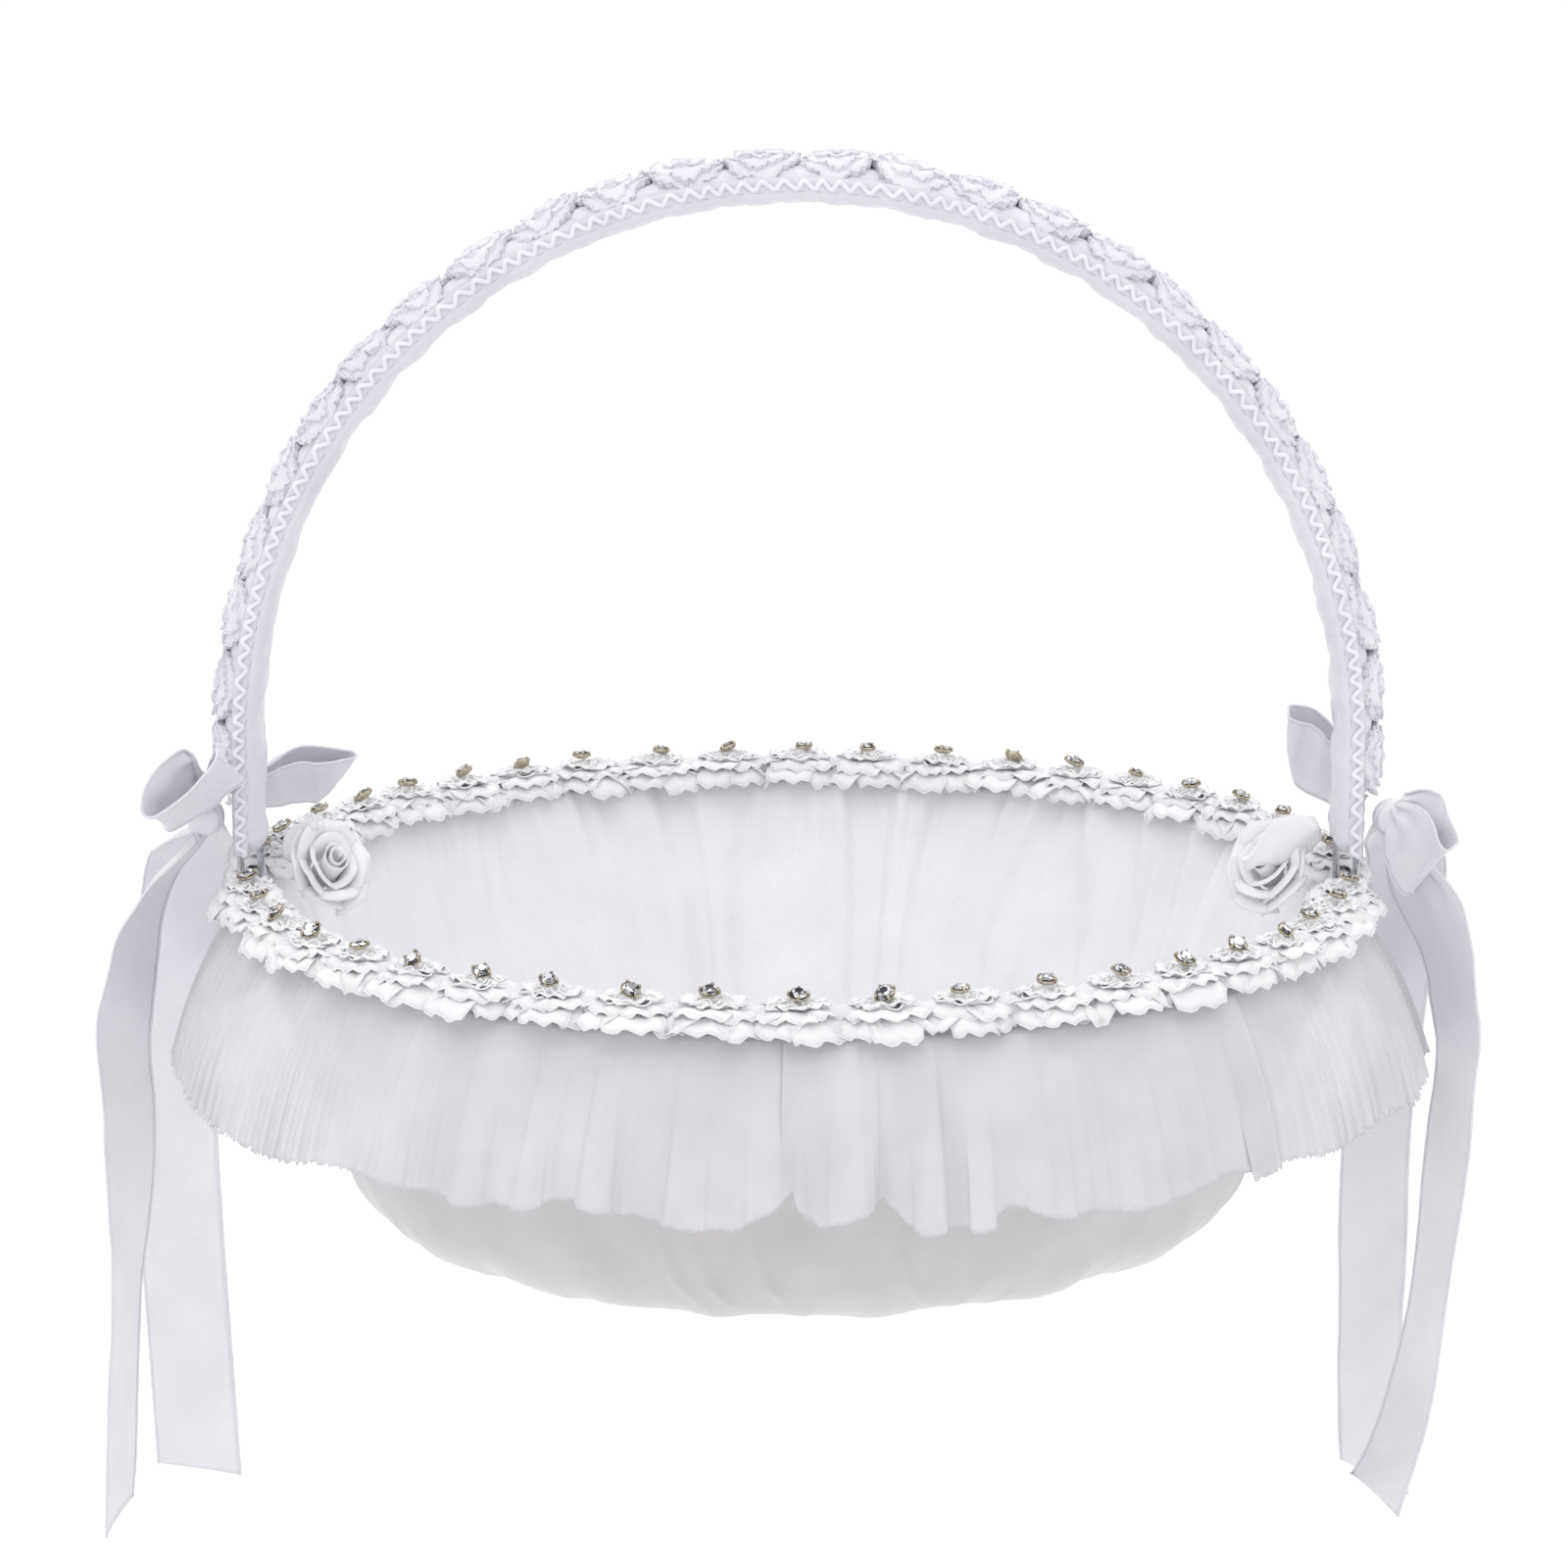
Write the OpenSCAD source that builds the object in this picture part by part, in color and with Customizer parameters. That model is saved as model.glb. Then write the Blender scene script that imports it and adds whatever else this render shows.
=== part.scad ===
// Flower girl basket: a satin-covered wire bowl that swings under a satin-wrapped wire handle.
// Millimetres, +Z up. The origin is the point where the handle is held, on its centre line at the
// crown. The bowl is worked out around the rim wire's centre, which lies grip_h below the origin.

/* [Bowl] */
// Radius of the rim wire's centre line
rim_r = 111.5; // [105:0.5:120]
// Thickness of the rim wire
rim_wire_d = 2; // [1.6:0.1:2]
// Height of the bowl, from the rim wire down to the base
bowl_h = 69; // [64:1:80]
// Radius of the rounded edge between the wall and the base
edge_r = 16.5; // [14:0.5:20]
// Radius of the flat base
base_r = 76.7; // [70:0.1:80]
// Number of upright ribs in the wire frame
rib_count = 16; // [8:1:16]
// Thickness of the ribs
rib_d = 1.6; // [1.2:0.1:1.6]
// Thickness of the hoops that tie the ribs together
hoop_d = 1.4; // [1:0.1:1.4]
// Depth of the middle hoop under the rim wire
mid_hoop_depth = 38; // [30:1:45]
// Radius of the small ring where the ribs end, under the base
hub_ring_r = 30; // [20:1:40]
// Thickness of the outer satin cover
cover_t = 0.8; // [0.5:0.1:0.8]
// Thickness of the gathered satin liner
liner_t = 1; // [0.6:0.1:1]
// Thickness of the cardboard disc in the base
board_t = 1.5; // [1:0.1:1.5]

/* [Rim trim] */
// Number of rosettes around the rim
rosette_count = 42; // [30:2:42]
// Diameter of one rosette
rosette_d = 14.2; // [10:0.1:14.2]
// Angle from the handle's foot to the first rosette on each side
foot_gap_angle = 8.2; // [8:0.1:10]
// Diameter of one rhinestone's metal cup
stone_d = 4.8; // [3:0.1:5]
// Length of the tulle ruffle down its slant
ruffle_slant = 35; // [25:1:38]
// Angle at which the ruffle stands off, from straight down
ruffle_flare = 23; // [15:1:24]

/* [Handle] */
// Straight height of each leg, from the rim wire to the start of the arch
leg_h = 30.5; // [25:0.5:40]
// Thickness of the handle wire
handle_wire_d = 1.5; // [1.2:0.1:1.5]
// Clearance between the rim wire and the hook that holds it
hook_gap = 0.3; // [0.3:0.05:0.4]
// Width of the satin sleeve, front to back
sleeve_w = 18; // [16:0.5:18]
// Thickness of the satin sleeve, across the wires
sleeve_d = 6.8; // [6.8:0.1:7]
// Height at which the sleeve ends, above the rim wire
sleeve_foot = 7; // [7:0.5:10]
// Number of lace flowers along the handle
flower_count = 26; // [20:1:28]
// Diameter of one lace flower
flower_d = 12.6; // [9:0.1:12.6]

/* [Ribbons] */
// Width of the satin ribbon
ribbon_w = 17.5; // [14:0.5:18]
// Thickness of the ribbon, with its folded body
ribbon_t = 0.8; // [0.6:0.1:0.8]

/* [Hidden] */
rib_names = [for (i = [1:rib_count]) str("rib_", i < 10 ? "0" : "", i)];

grip_h = leg_h + rim_r;               // the rim wire's depth under the grip
skin_gap = 0.2;                       // space between a wire and the cloth beside it
edge_z = edge_r - bowl_h;             // height of the rounded edge's centre, from the rim wire
hook_r = (rim_wire_d + handle_wire_d) / 2 + hook_gap;   // the hook's wire runs this far from the rim's
hook_corner_r = 1.3;                  // bend radius at the hook's two corners
binding_r = rim_wire_d / 2 + 1.4;     // outer radius of the binding's section
binding_bore_r = rim_wire_d / 2 + 0.15;
hem_z = -binding_r - 0.2;             // cover and liner end just under the binding
notch_half = 5;                       // half length of the bare stretch of rim at each foot
notch_floor = -5;                     // depth of the notch cut there in the cloth
rib_inset = cover_t + skin_gap + rib_d / 2;
liner_inset = rib_inset + rib_d / 2 + hoop_d + board_t + skin_gap;
rib_top = [rim_r - 0.3, -rim_wire_d / 2 - 0.3];
ruffle_t = 0.8;
ruffle_top = [113.9, -3.4];
rosette_floor = -1.8;                 // underside of the rosettes
rosette_h = 4.8;
tape_r = rim_r + sleeve_d / 2 + 0.1;  // underside of the lace tape on the arch
tape_t = 0.5;
flower_t = 2.8;
flower_foot = 26;                     // height of the lowest lace flower, above the rim wire
stone_t = 2.4;

// ---------- the bowl's outline: a rounded edge and a wall that runs tangent to it ----------

// Angle on the rounded edge, of radius rho, where the wall towards the point top touches it
function touch_angle(top, rho) =
    let (reach = top - [base_r, edge_z])
    atan2(reach[1], reach[0]) - acos(rho / norm(reach));
// A point on the rounded edge, at an angle from the horizontal
function edge_point(rho, angle) = [base_r + rho * cos(angle), edge_z + rho * sin(angle)];
// Outline from the base, round the edge and up the wall, at an inset from the cover's outside
function bowl_line(inset, top, steps = 8) =
    let (rho = edge_r - inset, last = touch_angle(top, rho))
    concat([for (i = [0:steps]) edge_point(rho, -90 + (last + 90) * i / steps)], [top]);
// Points of a list from its last to its first
function reversed(points) = [for (i = [len(points) - 1:-1:0]) points[i]];
// Radius of a rib's centre line at a height on the wall
function rib_radius(z) =
    let (touch = edge_point(edge_r - rib_inset, touch_angle(rib_top, edge_r - rib_inset)))
    touch[0] + (rib_top[0] - touch[0]) * (z - touch[1]) / (rib_top[1] - touch[1]);

// ---------- shared shapes ----------

module at_rim() {
    translate([0, 0, -grip_h])
        children();
}

module wire_ring(radius, wire_d) {
    rotate_extrude($fn = 180)
        translate([radius, 0])
            circle(d = wire_d, $fn = 24);
}

// An open bowl of even thickness, from its hem down to its floor
module bowl_shell(inset, thickness, hem_r) {
    outer = bowl_line(inset, [hem_r, hem_z]);
    inner = bowl_line(inset + thickness, [hem_r - thickness, hem_z]);
    rotate_extrude($fn = 180)
        polygon(concat([[0, edge_z - edge_r + inset]], outer, reversed(inner),
            [[0, edge_z - edge_r + inset + thickness]]));
}

// The two blocks that clear the rim at the handle's feet
module foot_notches() {
    for (side = [-1, 1])
        translate([side * rim_r - 8, -notch_half, notch_floor])
            cube([16, 2 * notch_half, 20]);
}

// Runs a section, drawn with X away from the arch's centre and Y front to back, along the handle
module along_handle(foot_z) {
    translate([0, 0, leg_h])
        rotate([90, 0, 0])
            mirror([0, 0, 1])
                rotate_extrude(angle = 180, $fn = 180)
                    translate([rim_r, 0])
                        children();
    for (side = [0, 1])
        mirror([side, 0, 0])
            translate([rim_r, 0, foot_z])
                linear_extrude(leg_h - foot_z)
                    children();
}

// A rectangle with round corners, made of true arcs
module rounded_bar(width, height, radius) {
    square([width - 2 * radius, height], center = true);
    square([width, height - 2 * radius], center = true);
    for (x = [-1, 1], y = [-1, 1])
        translate([x * (width / 2 - radius), y * (height / 2 - radius)])
            circle(r = radius, $fn = 32);
}

// Unit vector
function unit(v) = v / norm(v);
// Share of the full width that a ribbon has where it is pinched by the knot
function pinch(t, both_ends) =
    min(1, 0.3 + 3.4 * (both_ends ? min(t, 1 - t) : t));
// Direction of travel at one point of a path
function heading(path, i) =
    unit(path[min(i + 1, len(path) - 1)] - path[max(i - 1, 0)]);

// A flat ribbon along a path; its width turns from side_a at the start to side_b at the end
module ribbon(path, side_a, side_b, both_ends = false) {
    last = len(path) - 1;
    corners = [for (i = [0:last])
        let (t = i / last,
             side = unit(side_a * (1 - t) + side_b * t),
             across = side * ribbon_w / 2 * pinch(t, both_ends),
             through = unit(cross(heading(path, i), side)) * ribbon_t / 2)
        each [path[i] - across - through, path[i] + across - through,
              path[i] + across + through, path[i] - across + through]];
    walls = [for (i = [0:last - 1], k = [0:3])
        let (a = 4 * i + k, b = 4 * i + (k + 1) % 4)
        each [[a, a + 4, b], [b, a + 4, b + 4]]];
    ends = [[0, 1, 2], [0, 2, 3], [4 * last, 4 * last + 2, 4 * last + 1],
            [4 * last, 4 * last + 3, 4 * last + 2]];
    polyhedron(concat(corners), concat(walls, ends), convexity = 6);
}

// One bow loop: out along a direction and back, opened by depth, with the ribbon's width on side
module bow_loop(start, direction, side, length, depth) {
    along = unit(direction);
    open = unit(cross(along, side));
    steps = 18;
    path = [for (i = [0:steps])
        let (turn = 180 * (0.04 + 0.92 * i / steps))
        start + along * length * sin(turn) + open * depth / 2 * sin(2 * turn)];
    ribbon(path, side, side, true);
}

// ---------- wire frame of the bowl ----------

module rim_ring() {
    color("lightgrey")
        at_rim()
            wire_ring(rim_r, rim_wire_d);
}

module mid_hoop() {
    color("lightgrey")
        at_rim()
            translate([0, 0, -mid_hoop_depth])
                wire_ring(rib_radius(-mid_hoop_depth) - (rib_d + hoop_d) / 2 - 0.1, hoop_d);
}

module base_hoop(radius) {
    color("lightgrey")
        at_rim()
            translate([0, 0, rib_inset + rib_d / 2 + hoop_d / 2 - bowl_h])
                wire_ring(radius, hoop_d);
}

module base_ring() {
    base_hoop(base_r - 3);
}

module hub_ring() {
    base_hoop(hub_ring_r);
}

// One rib: down the wall, round the edge and in under the base, with a bead of weld at each bend's end
module rib(i) {
    rho = edge_r - rib_inset;
    last = touch_angle(rib_top, rho);
    wall_run = norm(rib_top - edge_point(rho, last));
    color("lightgrey")
        at_rim()
            rotate([0, 0, 360 / rib_count * (i - 0.5)])
                translate([base_r, 0, edge_z]) {
                    rotate([90, 0, 0])
                        rotate([0, 0, -90])
                            rotate_extrude(angle = last + 90, $fn = 96)
                                translate([rho, 0])
                                    circle(d = rib_d, $fn = 24);
                    for (bend_end = [-90, last])
                        rotate([0, -bend_end, 0])
                            translate([rho, 0, 0])
                                sphere(d = rib_d + 0.15, $fn = 24);
                    rotate([0, -last, 0])
                        translate([rho, 0, 0])
                            cylinder(d = rib_d, h = wall_run, $fn = 24);
                    translate([hub_ring_r - base_r, 0, -rho])
                        rotate([0, 90, 0])
                            cylinder(d = rib_d, h = base_r - hub_ring_r, $fn = 24);
                }
}

module base_board() {
    color("burlywood")
        at_rim()
            translate([0, 0, rib_inset + rib_d / 2 + hoop_d + 0.05 - bowl_h])
                cylinder(r = base_r - 4, h = board_t, $fn = 120);
}

// ---------- cloth of the bowl ----------

module outer_cover() {
    color("gainsboro")
        at_rim()
            difference() {
                bowl_shell(0, cover_t, rim_r + 1.5);
                foot_notches();
            }
}

module liner() {
    color("white")
        at_rim()
            difference() {
                bowl_shell(liner_inset, liner_t, rim_r - 1.9);
                foot_notches();
            }
}

// Satin rolled over the rim wire, open underneath where the ribs come up
module rim_binding() {
    color("white")
        at_rim()
            difference() {
                rotate_extrude($fn = 180)
                    difference() {
                        translate([rim_r, 0])
                            circle(r = binding_r, $fn = 36);
                        translate([rim_r, 0])
                            circle(r = binding_bore_r, $fn = 24);
                        translate([rim_r - 1.9, -binding_r - 1])
                            square([2.9, binding_r + 1]);
                    }
                foot_notches();
            }
}

module tulle_ruffle() {
    across = ruffle_slant * sin(ruffle_flare);
    down = ruffle_slant * cos(ruffle_flare);
    color("whitesmoke", 0.6)
        at_rim()
            difference() {
                rotate_extrude($fn = 180)
                    translate(ruffle_top)
                        polygon([[0, 0], [across, -down], [across + ruffle_t, -down], [ruffle_t, 0]]);
                foot_notches();
            }
}

// Places its children at each rosette, an even share on each side of the handle's feet
module at_rosettes() {
    half = rosette_count / 2;
    pitch = (180 - 2 * foot_gap_angle) / (half - 1);
    for (turn = [0, 180], i = [0:half - 1])
        rotate([0, 0, turn + foot_gap_angle + pitch * i])
            translate([rim_r - 0.5, 0, 0])
                children();
}

module rim_rosettes() {
    color("white")
        at_rim()
            difference() {
                at_rosettes()
                    translate([0, 0, rosette_floor])
                        cylinder(d = rosette_d, h = rosette_h, $fn = 36);
                wire_ring(rim_r, 2 * binding_r + 0.1);
            }
}

module rhinestones() {
    color("silver")
        at_rim()
            at_rosettes()
                translate([0, 0, rosette_floor + rosette_h + 0.05]) {
                    cylinder(d = stone_d, h = stone_t / 2, $fn = 24);
                    translate([0, 0, stone_t / 2])
                        cylinder(d1 = stone_d, d2 = stone_d / 2, h = stone_t / 2, $fn = 24);
                }
}

// A satin rose just inside the rim, under a handle foot
module satin_rose(side) {
    color("white")
        at_rim()
            translate([side * 95.3, 0, 3.2])
                sphere(r = 8, $fn = 48);
}

// ---------- handle ----------

// The hook under the rim wire: a straight cross wire that the rim rolls on, and a corner at each end
module hook() {
    corner_at = hook_r - hook_corner_r;
    rotate([0, 90, 0])
        translate([hook_r, 0, -corner_at])
            cylinder(d = handle_wire_d, h = 2 * corner_at, $fn = 24);
    for (side = [-1, 1])
        translate([side * corner_at, 0, -corner_at]) {
            rotate([90, 0, 0])
                rotate([0, 0, side > 0 ? -90 : 180])
                    rotate_extrude(angle = 90, $fn = 64)
                        translate([hook_corner_r, 0])
                            circle(d = handle_wire_d, $fn = 24);
            for (bend_end = [[side * hook_corner_r, 0, 0], [0, 0, -hook_corner_r]])
                translate(bend_end)
                    sphere(d = handle_wire_d + 0.1, $fn = 24);
        }
}

// One closed wire, bent double: two arches side by side, hooked under the rim wire at each foot
module handle_wire() {
    color("silver")
        at_rim() {
            for (offset_r = [-hook_r, hook_r])
                along_handle(hook_corner_r - hook_r)
                    translate([offset_r, 0])
                        circle(d = handle_wire_d, $fn = 24);
            for (side = [-1, 1])
                translate([side * rim_r, 0, 0])
                    hook();
        }
}

// Foam strip between the two wires
module handle_padding() {
    depth = 2 * hook_r - handle_wire_d - 0.1;
    color("ivory")
        at_rim()
            along_handle(sleeve_foot + 1)
                rounded_bar(depth, sleeve_w - 3, depth / 2 - 0.1);
}

module handle_sleeve() {
    skin = 0.5;
    color("white")
        at_rim()
            along_handle(sleeve_foot)
                difference() {
                    rounded_bar(sleeve_d, sleeve_w, 2.6);
                    rounded_bar(sleeve_d - 2 * skin, sleeve_w - 2 * skin, 2.1);
                }
}

// The gathered seam that stands up along one edge of the sleeve
module sleeve_frill(side) {
    frill_d = 1.6;
    color("white")
        at_rim()
            along_handle(sleeve_foot)
                translate([0, side * (sleeve_w + frill_d + 0.1) / 2])
                    circle(d = frill_d, $fn = 24);
}

module lace_tape() {
    color("white")
        at_rim()
            along_handle(flower_foot - flower_d / 2)
                translate([tape_r - rim_r, -5])
                    square([tape_t, 10]);
}

// Places its children on the tape, with +Z outwards, a distance s along the handle from its crown
module on_tape(s, radius) {
    arc_half = radius * PI / 2;
    beyond = max(0, abs(s) - arc_half);
    turn = min(90, abs(s) / radius * 180 / PI);
    mirror([s < 0 ? 1 : 0, 0, 0])
        translate([radius * sin(turn), 0, leg_h + radius * cos(turn) - beyond])
            rotate([0, turn, 0])
                children();
}

module lace_flower() {
    petal_d = flower_d * 0.45;
    linear_extrude(flower_t) {
        circle(d = flower_d * 0.5, $fn = 24);
        for (i = [0:4])
            rotate(72 * i)
                translate([(flower_d - petal_d) / 2, 0])
                    circle(d = petal_d, $fn = 24);
    }
}

module lace_flowers() {
    radius = tape_r + tape_t + 0.1;
    reach = radius * PI / 2 + leg_h - flower_foot;
    color("white")
        at_rim()
            for (i = [0:flower_count - 1])
                on_tape(reach * (2 * i / (flower_count - 1) - 1), radius)
                    lace_flower();
}

// ---------- bows: drawn for the right foot; the left one is mirrored and tied a little differently ----------

knot_at = [119.9, -6, 14.5];

module bow_side(side) {
    color("white")
        at_rim()
            mirror([side < 0 ? 1 : 0, 0, 0])
                children();
}

module bow_knot() {
    translate(knot_at)
        sphere(r = 4.2, $fn = 48);
}

module left_bow_front_loop() {
    bow_side(-1)
        bow_loop([119, -12.5, 20.5], [0.47, -0.87, 0.1], [-0.64, 0, 0.77], 14, 10);
}

module left_bow_rear_loop() {
    bow_side(-1)
        bow_loop([116.5, 15, 14.5], [-0.88, 0.34, 0.05], [0.1, -0.75, 0.65], 28, 7);
}

module right_bow_front_loop() {
    bow_side(1)
        bow_loop([122, -10.5, 18], [0.7, -0.55, -0.45], [0.3, -0.4, 0.87], 15, 9);
}

module right_bow_rear_loop() {
    bow_side(1)
        bow_loop([115, 15, 16], [-0.7, 0.25, 0.66], [0.45, -0.35, 0.82], 19, 7);
}

module left_tail_front() {
    bow_side(-1)
        ribbon([[122.5, -9, 8], [127, -9, 1], [133, -8.5, -9], [138.5, -8, -21], [140, -7, -45],
            [140, -5, -80], [140, -4, -137]], [0.57, -0.82, 0], [0.22, -0.97, 0]);
}

module left_tail_rear() {
    bow_side(-1)
        ribbon([[121, 6.5, 11], [124, 20, 5], [127.5, 36, -3], [130.5, 47, -16], [131, 51, -35],
            [131, 51.5, -90], [130.8, 51, -145]], [0.9, -0.3, 0.3], [1, 0, 0]);
}

module right_tail_front() {
    bow_side(1)
        ribbon([[122.5, -8, 8], [127.5, -8, 1], [134, -8, -9], [138, -8, -21], [138, -7, -40],
            [134, -6, -75], [127, -5, -105], [121, -4, -134]], [0.45, -0.89, 0], [0.7, -0.71, 0]);
}

module right_tail_rear() {
    bow_side(1)
        ribbon([[121, 6.5, 11], [124, 20, 5], [127.5, 36, -3], [130.5, 48, -16], [130.5, 52, -35],
            [127, 52.5, -70], [124.5, 52, -148]], [0.9, -0.3, 0.3], [0.8, -0.6, 0]);
}

// ---------- every node ----------

handle_wire();
handle_padding();
handle_sleeve();
sleeve_frill(-1);  // sleeve_frill_front
sleeve_frill(1);  // sleeve_frill_rear
lace_tape();
lace_flowers();
bow_side(-1) bow_knot();  // left_bow_knot
left_bow_front_loop();
left_bow_rear_loop();
left_tail_front();
left_tail_rear();
bow_side(1) bow_knot();  // right_bow_knot
right_bow_front_loop();
right_bow_rear_loop();
right_tail_front();
right_tail_rear();
rim_ring();
mid_hoop();
base_ring();
hub_ring();
base_board();
outer_cover();
liner();
rim_binding();
tulle_ruffle();
rim_rosettes();
rhinestones();
satin_rose(-1);  // rose_left
satin_rose(1);  // rose_right
for (i = [1:rib_count])
    rib(i);
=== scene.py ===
"""Flower girl basket: satin, tulle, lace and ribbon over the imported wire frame.

Shapes are worked out in millimetres around the centre of the rim wire, x to the right, y to the
back and z up, and they are turned into metres in the shared frame as each mesh is made.
"""
import math

import bmesh
import bpy
import numpy as np
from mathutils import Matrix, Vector


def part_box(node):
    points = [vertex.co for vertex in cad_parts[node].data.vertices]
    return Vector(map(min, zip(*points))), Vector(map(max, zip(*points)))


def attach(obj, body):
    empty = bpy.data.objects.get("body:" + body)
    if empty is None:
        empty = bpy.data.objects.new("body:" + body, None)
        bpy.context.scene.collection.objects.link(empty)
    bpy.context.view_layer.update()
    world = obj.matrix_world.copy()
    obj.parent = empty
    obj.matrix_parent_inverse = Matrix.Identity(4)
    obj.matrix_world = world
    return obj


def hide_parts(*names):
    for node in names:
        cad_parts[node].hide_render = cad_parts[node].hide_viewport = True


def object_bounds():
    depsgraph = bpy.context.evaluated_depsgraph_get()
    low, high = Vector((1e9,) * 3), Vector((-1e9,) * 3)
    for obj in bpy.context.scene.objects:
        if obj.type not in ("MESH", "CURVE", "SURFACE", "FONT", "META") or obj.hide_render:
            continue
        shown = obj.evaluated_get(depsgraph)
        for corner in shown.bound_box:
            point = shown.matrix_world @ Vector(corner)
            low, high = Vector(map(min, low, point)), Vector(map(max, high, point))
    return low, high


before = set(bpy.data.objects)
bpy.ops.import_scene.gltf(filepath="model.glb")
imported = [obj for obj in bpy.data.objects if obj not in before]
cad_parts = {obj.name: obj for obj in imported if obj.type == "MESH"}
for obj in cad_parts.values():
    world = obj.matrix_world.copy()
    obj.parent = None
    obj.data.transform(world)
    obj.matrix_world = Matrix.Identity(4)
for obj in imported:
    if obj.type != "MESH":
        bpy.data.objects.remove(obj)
CAD_BOX = [list(corner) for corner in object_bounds()]

MM = 0.001
TAU = 2 * math.pi
UP = np.array([0.0, 0.0, 1.0])

# ---------- sizes that follow from the frame ----------

ring_low, ring_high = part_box("rim_ring")
RIM_Z = (ring_low.z + ring_high.z) / 2              # metres, height of the rim wire's centre
RIM_R = (ring_high.x - ring_low.x - (ring_high.z - ring_low.z)) / 2 / MM
LEG_H = -RIM_Z / MM - RIM_R                         # straight part of each handle leg
BASE_Z = (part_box("outer_cover")[0].z - RIM_Z) / MM  # underside of the bowl
ROSETTE_HIGH = (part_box("rim_rosettes")[1].z - RIM_Z) / MM
SLEEVE_LOW = (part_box("handle_sleeve")[0].z - RIM_Z) / MM
TAPE_LOW = (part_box("lace_tape")[0].z - RIM_Z) / MM
TAPE_R = (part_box("lace_tape")[1].z - RIM_Z) / MM - LEG_H

# ---------- sizes of the cloth ----------

BASE_R = 76.7            # flat base of the bowl
EDGE_R = 16.5            # rounded edge between the base and the wall
CENTRE_R = 1.5           # the floor's rows stop here, and a flat cap closes them
RIB_COUNT = 16
COVER_RIM_R = RIM_R + 1.5
LINER_INSET = 5.7        # the liner lies this far inside the cover
LINER_RIM_R = RIM_R - 1.9
HEM_Z = -2.6
HEM_DROP = 2.6           # the hem dips by this much under each handle foot
FOOT_HALF = 5.2          # half length of the bare stretch of rim at each handle foot
RUFFLE_TOP = (113.9, -3.4)   # radius and height of its gathered edge
RUFFLE_SLANT = 35.0
RUFFLE_FLARE = math.radians(23)
ROSETTE_COUNT = 42
FOOT_GAP = math.radians(8.2)
SLEEVE_HALF = (3.4, 9.0)     # half thickness and half width of the handle's sleeve
FLAT_TOP = 4.2           # half width of the sleeve's flat top; the lace droops beyond it
TAPE_HALF = 6.9
SCALLOP = 4.2            # pitch of the tape's scallops
FLOWER_COUNT = 26
FLOWER_FOOT = 26.0
FLOWER_R = 6.3
RIBBON_HALF = 8.75
RIBBON_CUP = 0.9         # hollow across the ribbon's width
CLOTH = 0.3              # thickness of satin and ribbon
WAVE_COUNT = 7           # plain waves added up in each irregular one


# ---------- small helpers ----------

def unit(v):
    v = np.asarray(v, float)
    return v / np.linalg.norm(v, axis=-1, keepdims=True)


def smooth(x):
    x = np.clip(x, 0, 1)
    return x * x * (3 - 2 * x)


def waves(angle, seed, low, high):
    """Irregular waves round a circle, between -1 and 1, each with a whole number of turns."""
    draw = np.random.default_rng(seed)
    total = sum(np.cos(draw.integers(low, high + 1) * angle + draw.uniform(0, TAU))
                for _ in range(WAVE_COUNT))
    return np.tanh(total / math.sqrt(WAVE_COUNT / 2))


def round_axis(radius, angle, z):
    """Points at a radius and angle about the bowl's axis."""
    radius, angle, z = np.broadcast_arrays(radius, angle, z)
    return np.stack([radius * np.cos(angle), radius * np.sin(angle), z], -1)


def near_foot(angle):
    """1 where the angle is at a handle foot, falling to 0 beside it."""
    return 1 - smooth((np.abs(RIM_R * np.sin(angle)) - FOOT_HALF) / 1.5)


def spline(points, count):
    """Catmull-Rom curve through the points, with count points."""
    p = np.asarray(points, float)
    p = np.vstack([2 * p[0] - p[1], p, 2 * p[-1] - p[-2]])
    t = np.linspace(0, len(p) - 3 - 1e-9, count)
    i = t.astype(int)
    f = (t - i)[:, None]
    a, b, c, d = p[i], p[i + 1], p[i + 2], p[i + 3]
    return 0.5 * (2 * b + (c - a) * f + (2 * a - 5 * b + 4 * c - d) * f ** 2
                  + (3 * b - a - 3 * c + d) * f ** 3)


def mirror(points, side):
    return points * (side, 1, 1)


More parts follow.
